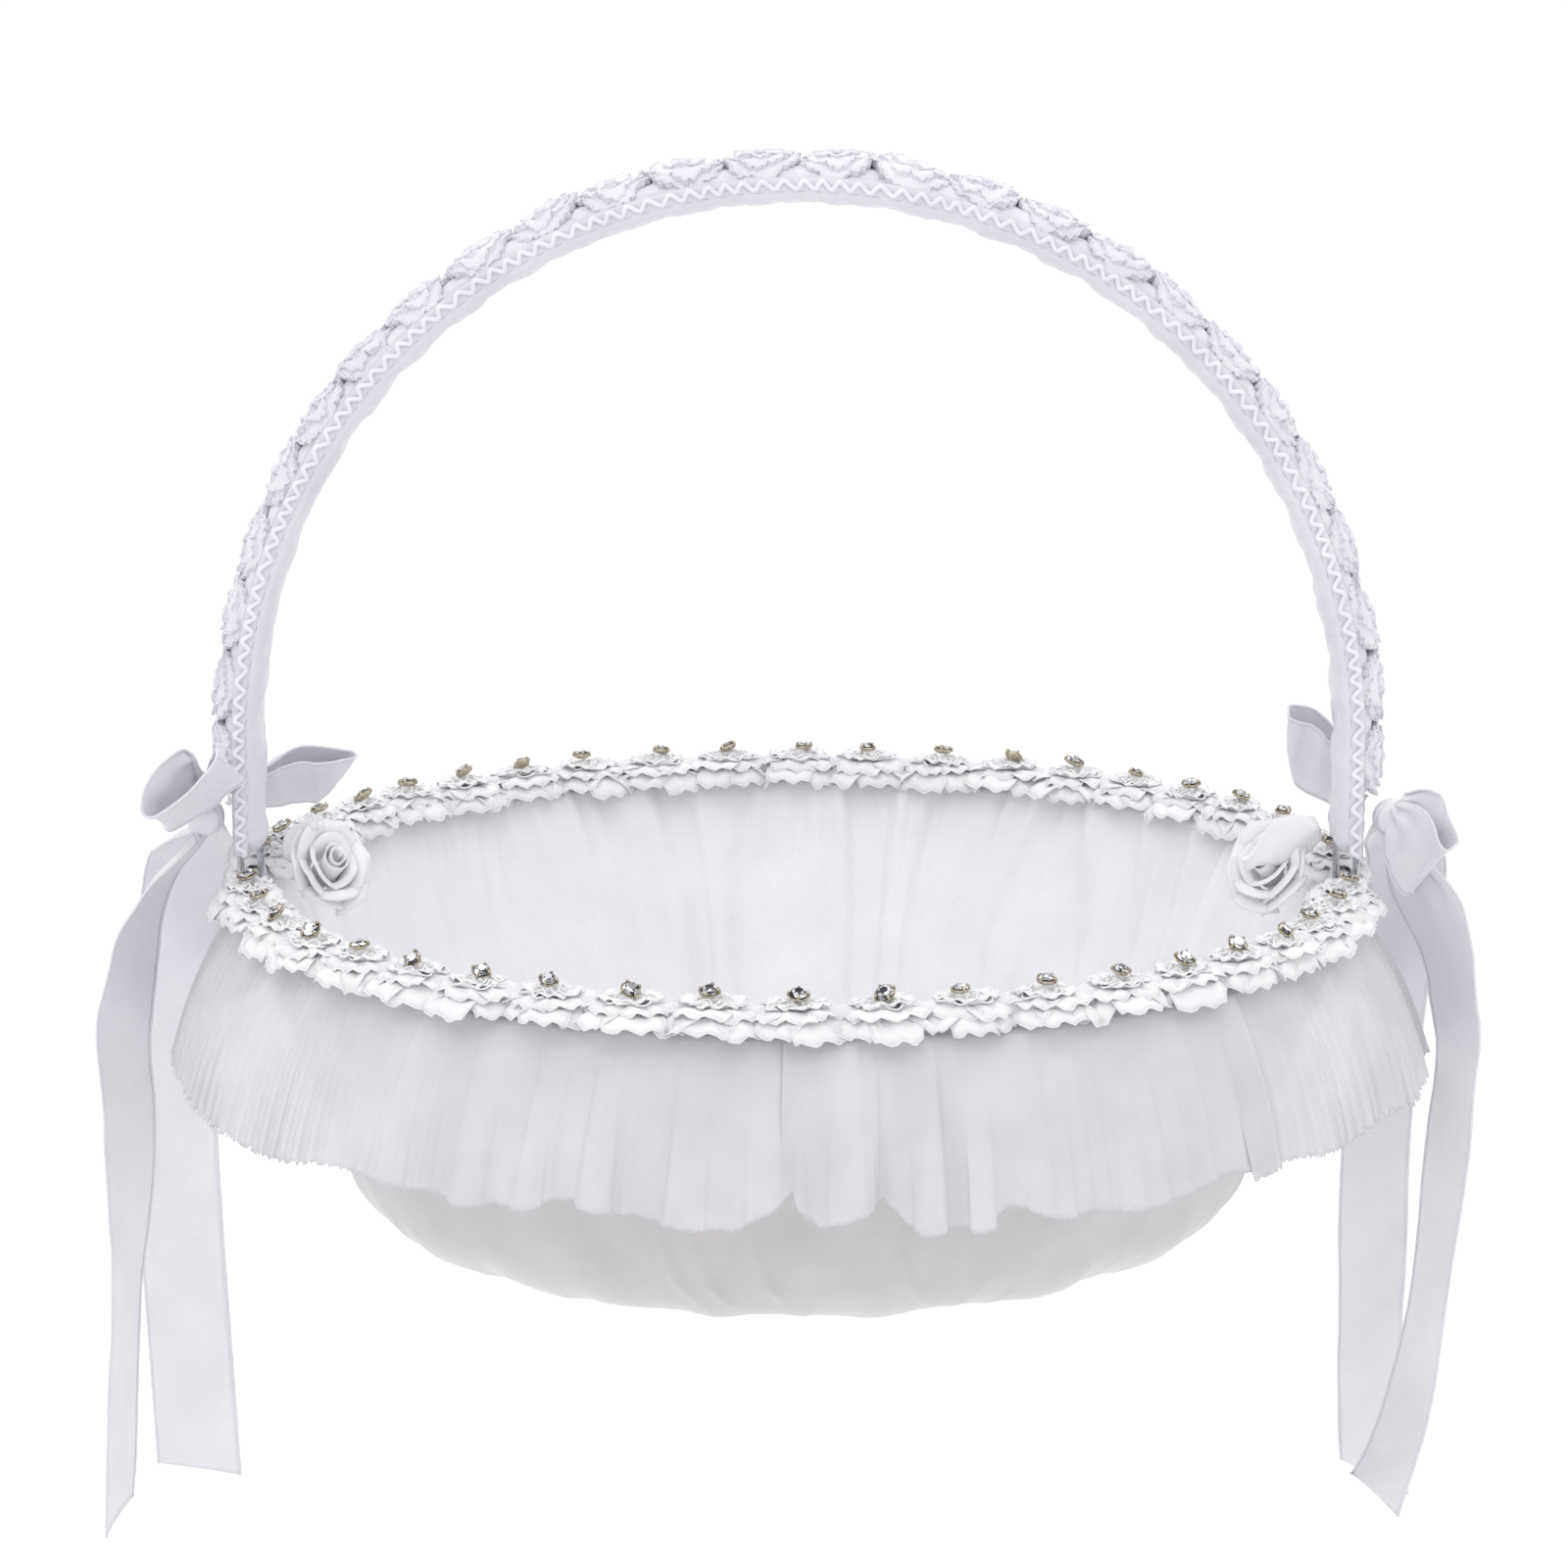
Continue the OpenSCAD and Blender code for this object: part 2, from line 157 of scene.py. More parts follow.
class Shape:
    """Gathers grids and tubes into one mesh."""

    def __init__(self):
        self.points, self.faces, self.parts = [], [], []

    def grid(self, points, wrap=False, part=0):
        """A sheet through an array of rows and columns of points; wrap closes each row."""
        rows, cols = points.shape[:2]
        start = sum(len(p) for p in self.points)
        index = start + np.arange(rows * cols).reshape(rows, cols)
        if wrap:
            index = np.hstack([index, index[:, :1]])
        quads = np.stack([index[:-1, :-1], index[:-1, 1:], index[1:, 1:], index[1:, :-1]], -1)
        quads = quads.reshape(-1, 4).tolist()
        self.points.append(points.reshape(-1, 3))
        self.faces += quads
        self.parts += [part] * len(quads)
        return index

    def cap(self, loop, part=0):
        self.faces.append([int(i) for i in loop])
        self.parts.append(part)

    def tube(self, path, radii, up=UP, sides=6, closed=False, part=0):
        """A tube along a path; radii are its half sizes across and along up."""
        path = np.asarray(path, float)
        ahead, behind = np.roll(path, -1, 0), np.roll(path, 1, 0)
        if not closed:
            ahead[-1], behind[0] = path[-1], path[0]
        along = unit(ahead - behind)
        across = unit(np.cross(along, up))
        above = np.cross(across, along)
        turn = TAU * np.arange(sides) / sides
        wide, tall = (np.broadcast_to(r, len(path))[:, None, None] for r in radii)
        rings = (path[:, None] + wide * across[:, None] * np.cos(turn)[None, :, None]
                 + tall * above[:, None] * np.sin(turn)[None, :, None])
        if closed:
            rings = np.concatenate([rings, rings[:1]])
        index = self.grid(rings, wrap=True, part=part)
        if not closed:
            self.cap(index[0, :-1], part)
            self.cap(index[-1, :-1][::-1], part)

    def object(self, name, *materials, thickness=0.0, smooth_faces=True):
        """The finished mesh as an object in the shared frame."""
        mesh = bpy.data.meshes.new(name)
        points = np.concatenate(self.points) * MM + (0, 0, RIM_Z)
        mesh.from_pydata(points.tolist(), [], self.faces)
        for material in materials:
            mesh.materials.append(material)
        mesh.polygons.foreach_set("material_index", self.parts)
        mesh.polygons.foreach_set("use_smooth", [smooth_faces] * len(mesh.polygons))
        edit = bmesh.new()
        edit.from_mesh(mesh)
        bmesh.ops.remove_doubles(edit, verts=edit.verts, dist=1e-7)
        bmesh.ops.recalc_face_normals(edit, faces=edit.faces)
        edit.to_mesh(mesh)
        edit.free()
        made = bpy.data.objects.new(name, mesh)
        bpy.context.scene.collection.objects.link(made)
        if thickness:
            solid = made.modifiers.new("thickness", "SOLIDIFY")
            solid.thickness = thickness * MM
            solid.offset = 0
        return made


def finish_piece(piece, body, slot, *nodes):
    """Puts a piece on its body and hides the CAD parts it stands for; the slot is not used."""
    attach(piece, body)
    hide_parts(*nodes)
    return piece


# ---------- materials ----------

def node_material(name):
    material = bpy.data.materials.new(name)
    material.use_nodes = True
    nodes, links = material.node_tree.nodes, material.node_tree.links
    return material, nodes, links, nodes["Principled BSDF"]


def add_noise(nodes, links, place, scale, detail=3.0):
    noise = nodes.new("ShaderNodeTexNoise")
    noise.inputs["Scale"].default_value = scale
    noise.inputs["Detail"].default_value = detail
    links.new(place.outputs["Object"], noise.inputs["Vector"])
    return noise


def add_threads(nodes, links, place, pitch):
    """Fine parallel threads on the slant, pitch metres apart."""
    threads = nodes.new("ShaderNodeTexWave")
    threads.bands_direction = "DIAGONAL"
    threads.inputs["Scale"].default_value = TAU / (20 * pitch)
    threads.inputs["Distortion"].default_value = 0.6
    links.new(place.outputs["Object"], threads.inputs["Vector"])
    return threads


def add_bump(nodes, links, height, strength, depth, onto=None):
    bump = nodes.new("ShaderNodeBump")
    bump.inputs["Strength"].default_value = strength
    bump.inputs["Distance"].default_value = depth
    links.new(height, bump.inputs["Height"])
    if onto:
        links.new(onto.outputs["Normal"], bump.inputs["Normal"])
    return bump


def shade(nodes, links, body, value, dark, light, low=0.3, high=0.7):
    """Colours the body between dark and light along a value."""
    ramp = nodes.new("ShaderNodeValToRGB")
    ramp.color_ramp.elements[0].position = low
    ramp.color_ramp.elements[1].position = high
    ramp.color_ramp.elements[0].color = (*dark, 1)
    ramp.color_ramp.elements[1].color = (*light, 1)
    links.new(value, ramp.inputs["Fac"])
    links.new(ramp.outputs["Color"], body.inputs["Base Color"])


def cloth(name, dark, light, rough, sheen=0.2, pitch=0.0004, weave=0.25, crease=0.25,
          crease_scale=220.0, alpha=1.0, through=0.0):
    """Woven cloth: fine slanting threads, small creases and a slight change of shade."""
    material, nodes, links, body = node_material(name)
    place = nodes.new("ShaderNodeTexCoord")
    blotch = add_noise(nodes, links, place, 70.0, 4.0)
    shade(nodes, links, body, blotch.outputs["Fac"], dark, light)
    threads = add_threads(nodes, links, place, pitch)
    creases = add_noise(nodes, links, place, crease_scale, 5.0)
    first = add_bump(nodes, links, creases.outputs["Fac"], crease, 0.0006)
    last = add_bump(nodes, links, threads.outputs["Fac"], weave, 0.00006, first)
    links.new(last.outputs["Normal"], body.inputs["Normal"])
    body.inputs["Roughness"].default_value = rough
    body.inputs["Sheen Weight"].default_value = sheen
    body.inputs["Sheen Roughness"].default_value = 0.4
    body.inputs["Specular IOR Level"].default_value = 0.5
    body.inputs["Alpha"].default_value = alpha
    if through:
        body.inputs["Subsurface Weight"].default_value = through
        body.inputs["Subsurface Radius"].default_value = (1.0, 1.0, 1.0)
        body.inputs["Subsurface Scale"].default_value = 0.002
    return material


def metal(name, dark, light, rough, scale=900.0, metallic=1.0):
    """Drawn or plated metal with fine scratches and a worn shade."""
    material, nodes, links, body = node_material(name)
    place = nodes.new("ShaderNodeTexCoord")
    wear = add_noise(nodes, links, place, scale, 4.0)
    shade(nodes, links, body, wear.outputs["Fac"], dark, light)
    bump = add_bump(nodes, links, wear.outputs["Fac"], 0.2, 0.00004)
    links.new(bump.outputs["Normal"], body.inputs["Normal"])
    body.inputs["Metallic"].default_value = metallic
    body.inputs["Roughness"].default_value = rough
    return material


def crystal(name):
    """Foil-backed glass with painted glints: each facet gets its own random brightness, from near
    black to near white, painted in for sparkle and dark reflections.
    """
    material, nodes, links, body = node_material(name)
    facet_glint = nodes.new("ShaderNodeAttribute")
    facet_glint.attribute_name = "facet_glint"
    shade(nodes, links, body, facet_glint.outputs["Fac"], (0.04, 0.04, 0.05), (0.95, 0.95, 0.97),
          0.15, 0.85)
    body.inputs["Metallic"].default_value = 0.85
    body.inputs["Roughness"].default_value = 0.08
    return material


def cardboard(name):
    """Grey board with fibres."""
    material, nodes, links, body = node_material(name)
    place = nodes.new("ShaderNodeTexCoord")
    fibres = add_noise(nodes, links, place, 1500.0, 6.0)
    shade(nodes, links, body, fibres.outputs["Fac"], (0.42, 0.34, 0.25), (0.62, 0.54, 0.43))
    bump = add_bump(nodes, links, fibres.outputs["Fac"], 0.4, 0.0001)
    links.new(bump.outputs["Normal"], body.inputs["Normal"])
    body.inputs["Roughness"].default_value = 0.85
    return material


SATIN = cloth("satin", (0.80, 0.79, 0.84), (0.87, 0.86, 0.90), rough=0.36)
# a darker copy of the satin: painted shade for the sleeve, the band under the frill's zigzag and
# the rim binding between the rosettes
SLEEVE_SATIN_PAINTED_SHADE = cloth("sleeve_satin_painted_shade", (0.70, 0.69, 0.74), (0.77, 0.76, 0.80), rough=0.4)
ROSE_SATIN = cloth("rose_satin", (0.88, 0.88, 0.90), (0.95, 0.95, 0.96), rough=0.36, crease=0.1,
                   through=0.15)
LINER_SATIN = cloth("liner_satin", (0.83, 0.825, 0.85), (0.88, 0.875, 0.90), rough=0.34,
                    sheen=0.15)
# the same white satin made much darker: painted shade for the bowl's underside, which faces away
# from the light above
BOWL_SATIN_PAINTED_SHADE = cloth("bowl_satin", (0.54, 0.52, 0.53), (0.60, 0.58, 0.59), rough=0.33, sheen=0.1)
RIBBON = cloth("ribbon", (0.83, 0.82, 0.87), (0.89, 0.88, 0.92), rough=0.3, sheen=0.15,
               crease=0.08, alpha=0.86)
LACE = cloth("lace", (0.80, 0.79, 0.85), (0.90, 0.89, 0.93), rough=0.6, sheen=0.3, pitch=0.0007,
             weave=0.4, crease=0.3, crease_scale=700.0, through=0.12)
CHIFFON = cloth("chiffon", (0.93, 0.93, 0.95), (0.98, 0.98, 0.985), rough=0.45, sheen=0.3,
                pitch=0.0005, weave=0.3, crease=0.3, crease_scale=500.0, through=0.25)
TULLE = cloth("tulle", (0.71, 0.70, 0.73), (0.79, 0.78, 0.81), rough=0.55, pitch=0.0008,
              weave=0.4, crease=0.1, crease_scale=300.0, alpha=0.75)
PADDING = cloth("padding", (0.70, 0.66, 0.58), (0.82, 0.79, 0.72), rough=0.9, sheen=0.3,
                pitch=0.0012, weave=0.8, crease=0.9, crease_scale=900.0)
FRAME_WIRE = metal("frame_wire", (0.66, 0.66, 0.68), (0.80, 0.80, 0.82), 0.45, metallic=0.3)
BARE_WIRE = metal("bare_wire", (0.32, 0.34, 0.36), (0.66, 0.68, 0.70), 0.32)
CUP_METAL = metal("cup_metal", (0.34, 0.29, 0.21), (0.72, 0.66, 0.54), 0.3, scale=1600.0)
CRYSTAL = crystal("rhinestone")
BOARD = cardboard("board")


# ---------- the bowl ----------

def bowl_rows(inset, rim_r, wall_rows, edge_rows, floor_rows):
    """Radius and height of each row, from the hem down the wall, round the edge and in."""
    rho = EDGE_R - inset
    centre = np.array([BASE_R, BASE_Z + EDGE_R])
    reach = np.array([rim_r, HEM_Z]) - centre
    touch = math.atan2(reach[1], reach[0]) - math.acos(rho / np.linalg.norm(reach))
    turn = np.linspace(touch, -math.pi / 2, edge_rows)
    edge = centre + rho * np.stack([np.cos(turn), np.sin(turn)], -1)
    down = np.linspace(0, 1, wall_rows, endpoint=False)[:, None]
    wall = np.array([rim_r, HEM_Z]) * (1 - down) + edge[0] * down
    inward = np.linspace(BASE_R, CENTRE_R, floor_rows + 1)[1:, None]
    floor = np.hstack([inward, np.full_like(inward, edge[-1, 1])])
    return np.vstack([wall, edge, floor])


def row_normals(rows):
    """Unit vectors out of the bowl at each row."""
    along = np.gradient(rows, axis=0)
    return unit(np.stack([-along[:, 1], along[:, 0]], -1))


def bowl_surface(rows, push, angle):
    """The bowl's rows turned about its axis and pushed outwards by an array of distances."""
    out = row_normals(rows)
    radius = rows[:, :1] + out[:, :1] * push
    hem = (np.arange(len(rows)) < 2)[:, None]
    height = rows[:, 1:] + out[:, 1:] * push - near_foot(angle)[None] * HEM_DROP * hem
    return round_axis(radius, angle[None], height)


# creases that drag aslant under the ruffle's front hem: degrees, share of the way down
DRAG_LINES = ((255.5, 0.42), (260.0, 0.44), (266.5, 0.42), (284.0, 0.44))
DRAG_SLANT = 0.42
DRAG_HALF = (0.012, 0.07)    # half width in radians, half length as a share of the way down
DRAG_HEIGHT = 0.8


def make_outer_cover():
    """Satin pulled over the ribs: flat between them, with drawn creases round the base edge."""
    angle = np.linspace(0, TAU, 960, endpoint=False)
    rows = bowl_rows(CLOTH / 2, COVER_RIM_R, 22, 16, 16)
    depth = np.arange(len(rows)) / (len(rows) - 1)
    between = np.sqrt(np.cos(RIB_COUNT / 2 * angle) ** 2 + 0.02)[None]
    edge = np.exp(-((depth - 0.56) / 0.16) ** 2)[:, None]
    slack = -0.8 * between * (0.25 + 0.75 * edge)
    lean = angle[None] + 0.22 * depth[:, None]
    drawn = np.clip(waves(lean, 11, 18, 46), 0, 1) * edge * -0.55
    soft = waves(angle[None] - 0.3 * depth[:, None], 12, 9, 30) * 0.35 * (edge + 0.35) - 0.35
    creases = (drawn + soft) * (0.25 + 0.75 * between)
    drags = 0
    for place, start in DRAG_LINES:
        below = depth[:, None] - start
        slanted = angle[None] - math.radians(place) - DRAG_SLANT * below
        drags = drags + DRAG_HEIGHT * np.exp(-(slanted / DRAG_HALF[0]) ** 2
                                             - (below / DRAG_HALF[1]) ** 2)
    fade = smooth((1 - depth) * 5)[:, None]
    shape = Shape()
    index = shape.grid(bowl_surface(rows, (slack + creases + drags) * fade, angle), wrap=True)
    shape.cap(index[-1, :-1])
    # the cover takes the darker bowl satin, painted shade for the underside of the bowl
    cover = shape.object("outer_cover_satin", BOWL_SATIN_PAINTED_SHADE, thickness=CLOTH)
    return finish_piece(cover, "basket", "bowl_satin", "outer_cover")


def make_liner():
    """Satin gathered at the rim and round the floor, so upright folds run down the wall."""
    angle = np.linspace(0, TAU, 1200, endpoint=False)
    rows = bowl_rows(LINER_INSET + CLOTH / 2, LINER_RIM_R, 34, 14, 16)
    depth = np.arange(len(rows)) / (len(rows) - 1)
    wander = 0.09 * waves(angle, 20, 4, 11)[None] * np.sin(depth * 4.5)[:, None]
    broad = waves(angle[None] + wander, 21, 22, 48)
    fine = waves(angle[None] + 0.5 * wander, 22, 80, 150)
    top = np.exp(-(depth / 0.16) ** 2)[:, None]
    wall = (1 - smooth((depth - 0.62) / 0.2))[:, None]
    floor = smooth((depth - 0.66) / 0.1)[:, None]
    slack = 0.5 + 0.5 * waves(angle, 23, 3, 9)[None]
    depth_in = ((1.15 + 1.15 * broad) * (0.45 + 0.55 * slack) * wall
                + (0.3 + 0.3 * fine) * (0.2 + top) * wall)
    depth_in = depth_in + (0.25 + 0.25 * broad) * floor * smooth((1 - depth) * 4)[:, None]
    shape = Shape()
    index = shape.grid(bowl_surface(rows, -depth_in, angle), wrap=True)
    shape.cap(index[-1, :-1])
    liner = shape.object("gathered_liner", LINER_SATIN, thickness=CLOTH)
    return finish_piece(liner, "basket", "satin", "liner")


BINDING_LAPS = 66        # turns of the strip along each half of the rim
BINDING_R = 2.02


def make_binding():
    """Satin strip rolled over the rim wire, wound so that each turn laps the last."""
    shape = Shape()
    half_gap = math.asin(FOOT_HALF / RIM_R)
    section = np.radians(np.linspace(-52, 232, 19))
    for start in (half_gap, math.pi + half_gap):
        angle = np.linspace(start, start + math.pi - 2 * half_gap, 620)
        lap = (angle * BINDING_LAPS / math.pi + section[:, None] * 0.12) % 1
        radius = BINDING_R + 0.26 * lap ** 2
        shape.grid(round_axis(RIM_R + radius * np.cos(section)[:, None], angle[None],
                              radius * np.sin(section)[:, None]))
    # the binding takes the darker satin, painted shade where it lies under the rosettes
    binding = shape.object("rim_binding_wrap", SLEEVE_SATIN_PAINTED_SHADE, thickness=0.2)
    return finish_piece(binding, "basket", "satin", "rim_binding")


# ---------- the tulle ruffle ----------

RUFFLE_STRIPS = ((312.0, 633.5, 0.0), (268.6, 316.5, 0.9))   # first and last angle, step outwards
BROAD_FOLDS, MIDDLE_FOLDS, FINE_PLEATS = 44, 104, 176        # in one turn of the rim

# degrees, extra length: the front hem hangs in a few uneven lobes
HEM_STEPS = ((0, 0), (245, 0), (250, -1.5), (257, 1.5), (264.5, 2.0), (266.8, -2.5), (269.5, -7.5),
             (270.2, -3.0), (271.5, -0.3), (277.6, -5.0), (278.9, 0.8), (280.3, 2.8), (286.5, 2.8),
             (287.8, 0), (298, 0.5), (303, 0), (360, 0))


def fine_share(degrees):
    """Where the tulle is finely pleated: 1 at the left side and the right front, less elsewhere."""
    turned = degrees % 360
    left = np.exp(-((turned - 196) / 34) ** 4)
    right = np.exp(-((turned - 336) / 20) ** 4)
    return np.clip(0.12 + left + 0.75 * right, 0, 1)


def ruffle_strip(first, last, step, seed):
    """One length of tulle: broad and middling folds where it hangs loose, fine pleats between."""
    degrees = np.linspace(first, last, int((last - first) * 6.2))
    angle = np.radians(degrees)[None]
    down = np.linspace(0, 1, 30)[:, None]
    fine = fine_share(degrees)[None]
    loose = 1 - fine
    broad_phase = BROAD_FOLDS * angle + 3.0 * waves(angle, seed, 3, 13) + 0.9 * down
    fine_phase = FINE_PLEATS * angle + 2.0 * waves(angle, seed + 1, 5, 23) + 0.8 * down
    middle_phase = MIDDLE_FOLDS * angle + 2.4 * waves(angle, seed + 2, 5, 19)
    open_out = 0.12 + 0.88 * down ** 1.5
    broad = (0.4 + 1.7 * loose) * open_out * (0.65 + 0.35 * waves(angle, seed + 3, 5, 17))
    small = (0.16 + 0.34 * fine) * (0.35 + 0.65 * down)
    middle = 0.42 * loose * open_out
    push = (broad * np.sin(broad_phase) + small * np.sin(fine_phase)
            + middle * np.sin(middle_phase) + 1.6 * np.sin(math.pi * down))
    slide = -0.4 * broad * np.sin(2 * broad_phase) - 0.6 * small * np.sin(2 * fine_phase)
    draw = np.random.default_rng(seed + 4)
    ragged = draw.uniform(-1, 1, len(degrees)) * (0.15 + 0.5 * fine[0])
    length = (RUFFLE_SLANT + 1.2 * waves(angle[0], seed + 5, 5, 19)
              + 1.1 * loose[0] * np.sin(broad_phase[-1]) + ragged
              + np.interp(degrees % 360, *np.transpose(HEM_STEPS)))
    run = down * length[None]
    run = np.where(down < 0.08, run + near_foot(angle) * 2.2 * (1 - down / 0.08), run)
    out, up = np.sin(RUFFLE_FLARE), np.cos(RUFFLE_FLARE)
    radius = RUFFLE_TOP[0] + step + run * out + push * up
    height = RUFFLE_TOP[1] - run * up + push * out
    return round_axis(radius, angle + slide / RIM_R, height)


def make_ruffle():
    """Two strips of tulle, gathered under the rosettes and lapped at their ends."""
    shape = Shape()
    for number, (first, last, step) in enumerate(RUFFLE_STRIPS):
        shape.grid(ruffle_strip(first, last, step, 31 + 10 * number))
    ruffle = shape.object("tulle_ruffle_strips", TULLE, thickness=0.15)
    return finish_piece(ruffle, "basket", "tulle", "tulle_ruffle")


# ---------- rosettes and rhinestones ----------

def rosette_angles():
    half = ROSETTE_COUNT // 2
    side = np.linspace(FOOT_GAP, math.pi - FOOT_GAP, half)
    return np.concatenate([side, side + math.pi])


def petal(reach, wide, base_r, rise, droop, crinkle, draw):
    """One crinkled petal along +x: rows run outwards and columns run across."""
    out = np.linspace(0, 1, 7)[:, None]
    across = np.linspace(-1, 1, 13)[None]
    bay = 1 - 0.16 * across ** 2 - 0.03 * np.cos(3 * math.pi * across + draw.uniform(0, TAU))
    x = base_r + reach * out * bay
    y = wide * across * (0.42 + 0.58 * np.sin(math.pi * (0.12 + 0.56 * out)))
    phase = draw.uniform(0, TAU)
    ruck = crinkle * out * np.sin(2.1 * math.pi * across + phase)
    ruck = ruck + 0.25 * crinkle * out * np.sin(4.6 * math.pi * across + 2 * phase)
    z = rise * out ** 0.8 - droop * out ** 2.4 + ruck - 0.06 * wide * across ** 2
    return np.stack(np.broadcast_arrays(x, y, z), -1)


def turned(points, angle):
    """Points turned about the z axis."""
    c, s = math.cos(angle), math.sin(angle)
    return points @ np.array([[c, s, 0], [-s, c, 0], [0, 0, 1]])


# petals in the ring, reach, half width, distance from the centre, rise, droop, crinkle, height
PETAL_RINGS = (
    (6, 5.9, 4.3, 2.4, 1.5, 4.2, 0.50, -0.3),
    (5, 5.0, 3.9, 1.7, 1.9, 2.5, 0.45, 0.6),
    (4, 3.4, 2.9, 1.0, 2.2, 0.9, 0.35, 1.0),
)
ROSETTE_SPREAD = (1.0, 1.3, 1.0)   # neighbours touch along the rim
CORD = (0.15, 0.13)                # half sizes of the cord round each petal's edge


def frilled_turn(draw, turns, first_r, last_r, height):
    """Gathered chiffon wound in a flat spiral, sewn down below and waving above."""
    along = np.linspace(0, 1, int(46 * turns))[None]
    up = np.linspace(0, 1, 5)[:, None]
    angle = TAU * turns * along + draw.uniform(0, TAU)
    wave = np.sin(TAU * along * turns * draw.uniform(5.5, 7.5) + draw.uniform(0, TAU))
    radius = first_r + (last_r - first_r) * along + up * (1.3 + 0.75 * wave * up)
    z = 1.0 + up * height * (1 - 0.35 * along) + 0.35 * up * np.roll(wave, 3)
    radius, angle, z = np.broadcast_arrays(radius, angle, z)
    return np.stack([radius * np.cos(angle), radius * np.sin(angle), z], -1)


def rosette(shape, centre, facing, draw):
    """Three rings of crinkled chiffon petals with corded edges, round a frilled middle."""
    for count, reach, wide, base_r, rise, droop, crinkle, height in PETAL_RINGS:
        start = draw.uniform(0, TAU)
        for k in range(count):
            size = draw.uniform(0.86, 1.14)
            leaf = petal(reach * size, wide * draw.uniform(0.85, 1.15), base_r,
                         rise * draw.uniform(0.8, 1.15), droop * draw.uniform(0.75, 1.2),
                         crinkle, draw)
            spot = start + TAU * (k + draw.uniform(-0.15, 0.15)) / count
            leaf = turned(leaf + (0, 0, height), spot)
            leaf = turned(leaf * ROSETTE_SPREAD, facing) + centre
            shape.grid(leaf)
            rim = np.vstack([leaf[2:, 0], leaf[-1, 1:-1], leaf[2:, -1][::-1]])
            shape.tube(rim, CORD, sides=5, part=1)
    frill = turned(frilled_turn(draw, 2.2, 0.5, 3.6, 1.5) * ROSETTE_SPREAD, facing) + centre
    shape.grid(frill)
    shape.tube(frill[-1], CORD, sides=5, part=1)


def make_rosettes():
    shape = Shape()
    draw = np.random.default_rng(5)
    for angle in rosette_angles():
        wobble = draw.uniform(-0.35, 0.35, 3)
        centre = round_axis(RIM_R - 0.4, angle, 0.55) + wobble * (1, 1, 0.5)
        rosette(shape, centre, angle, draw)
    rosettes = shape.object("rosette_garland", CHIFFON, ROSE_SATIN, thickness=0.12)
    return finish_piece(rosettes, "basket", "lace", "rim_rosettes")


def tilt(points, toward, amount):
    """Points tipped by a small angle towards a direction in the xy plane."""
    axis = np.array([-math.sin(toward), math.cos(toward), 0])
    along = points @ axis
    c, s = math.cos(amount), math.sin(amount)
    return points * c + np.cross(axis, points) * s + np.outer(along, axis) * (1 - c)


def ring_of(radius, z, sides, twist=0.0):
    turn = TAU * (np.arange(sides) + twist) / sides
    return np.stack([radius * np.cos(turn), radius * np.sin(turn), np.full(sides, z)], -1)


# radius, height; the stone's rings also have a twist, as a share of one side
CUP_PROFILE = ((0.9, 0.0), (1.7, 0.25), (2.0, 0.9), (1.75, 0.9), (1.5, 0.45), (0.6, 0.4))
GEM_PROFILE = ((0.9, 0.5, 0.0), (1.72, 1.05, 0.0), (1.72, 1.2, 0.5), (1.3, 1.65, 0.0),
               (0.8, 1.9, 0.5))
GEM_SIDES = 8
PRONG = np.array([[1.95, 0, 0.5], [1.98, 0, 1.0], [1.85, 0, 1.4], [1.45, 0, 1.62]])


def gem_faces(start):
    """Triangular facets between the rings of a cut stone, and its table and foot."""
    faces = []
    for ring in range(len(GEM_PROFILE) - 1):
        a, b = start + ring * GEM_SIDES, start + (ring + 1) * GEM_SIDES
        for k in range(GEM_SIDES):
            n = (k + 1) % GEM_SIDES
            faces += [[a + k, a + n, b + k], [a + n, b + n, b + k]]
    last = start + (len(GEM_PROFILE) - 1) * GEM_SIDES
    faces.append([last + k for k in range(GEM_SIDES)])
    faces.append([start + k for k in range(GEM_SIDES)][::-1])
    return faces


def set_stone(cups, gems, centre, toward, lean, size, draw):
    """One metal cup with four prongs, and the cut stone in it."""
    spin = draw.uniform(0, TAU)

    def put(points):
        return tilt(turned(points, spin) * size, toward, lean) + centre

    rings = np.array([put(ring_of(r, z, 16)) for r, z in CUP_PROFILE])
    index = cups.grid(rings, wrap=True)
    cups.cap(index[0, :-1][::-1])
    cups.cap(index[-1, :-1])
    for k in range(4):
        path = put(turned(PRONG, TAU * k / 4))
        cups.tube(path, (0.3, 0.24), up=unit(np.cross(path[-1] - path[0], (0.3, 0.5, 0.8))))
    stone = np.vstack([put(ring_of(r, z, GEM_SIDES, twist)) for r, z, twist in GEM_PROFILE])
    gems.faces += gem_faces(sum(len(p) for p in gems.points))
    gems.points.append(stone)
    gems.parts += [0] * (len(gems.faces) - len(gems.parts))


def make_rhinestones():
    """The cut stones, and the cups that hold them on the rosettes."""
    cups, gems = Shape(), Shape()
    draw = np.random.default_rng(8)
    for angle in rosette_angles():
        lean = draw.uniform(-0.1, 0.75)
        shift = draw.uniform(-1.4, 1.4)
        centre = round_axis(RIM_R - 0.2 + draw.uniform(-1, 1), angle + shift / RIM_R,
                            ROSETTE_HIGH + 0.7)
        toward = angle + draw.uniform(-0.9, 0.9)
        set_stone(cups, gems, centre, toward, lean, draw.uniform(0.9, 1.04), draw)
    stones = gems.object("rhinestones_cut", CRYSTAL, smooth_faces=False)
    # painted glints: a random brightness for each facet
    facet_glint = stones.data.attributes.new("facet_glint", "FLOAT", "FACE")
    facet_glint.data.foreach_set("value", draw.uniform(0, 1, len(stones.data.polygons)))
    settings = cups.object("rhinestone_cups", CUP_METAL)
    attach(settings, "basket")
    return finish_piece(stones, "basket", "rhinestone", "rhinestones")


# ---------- satin roses ----------

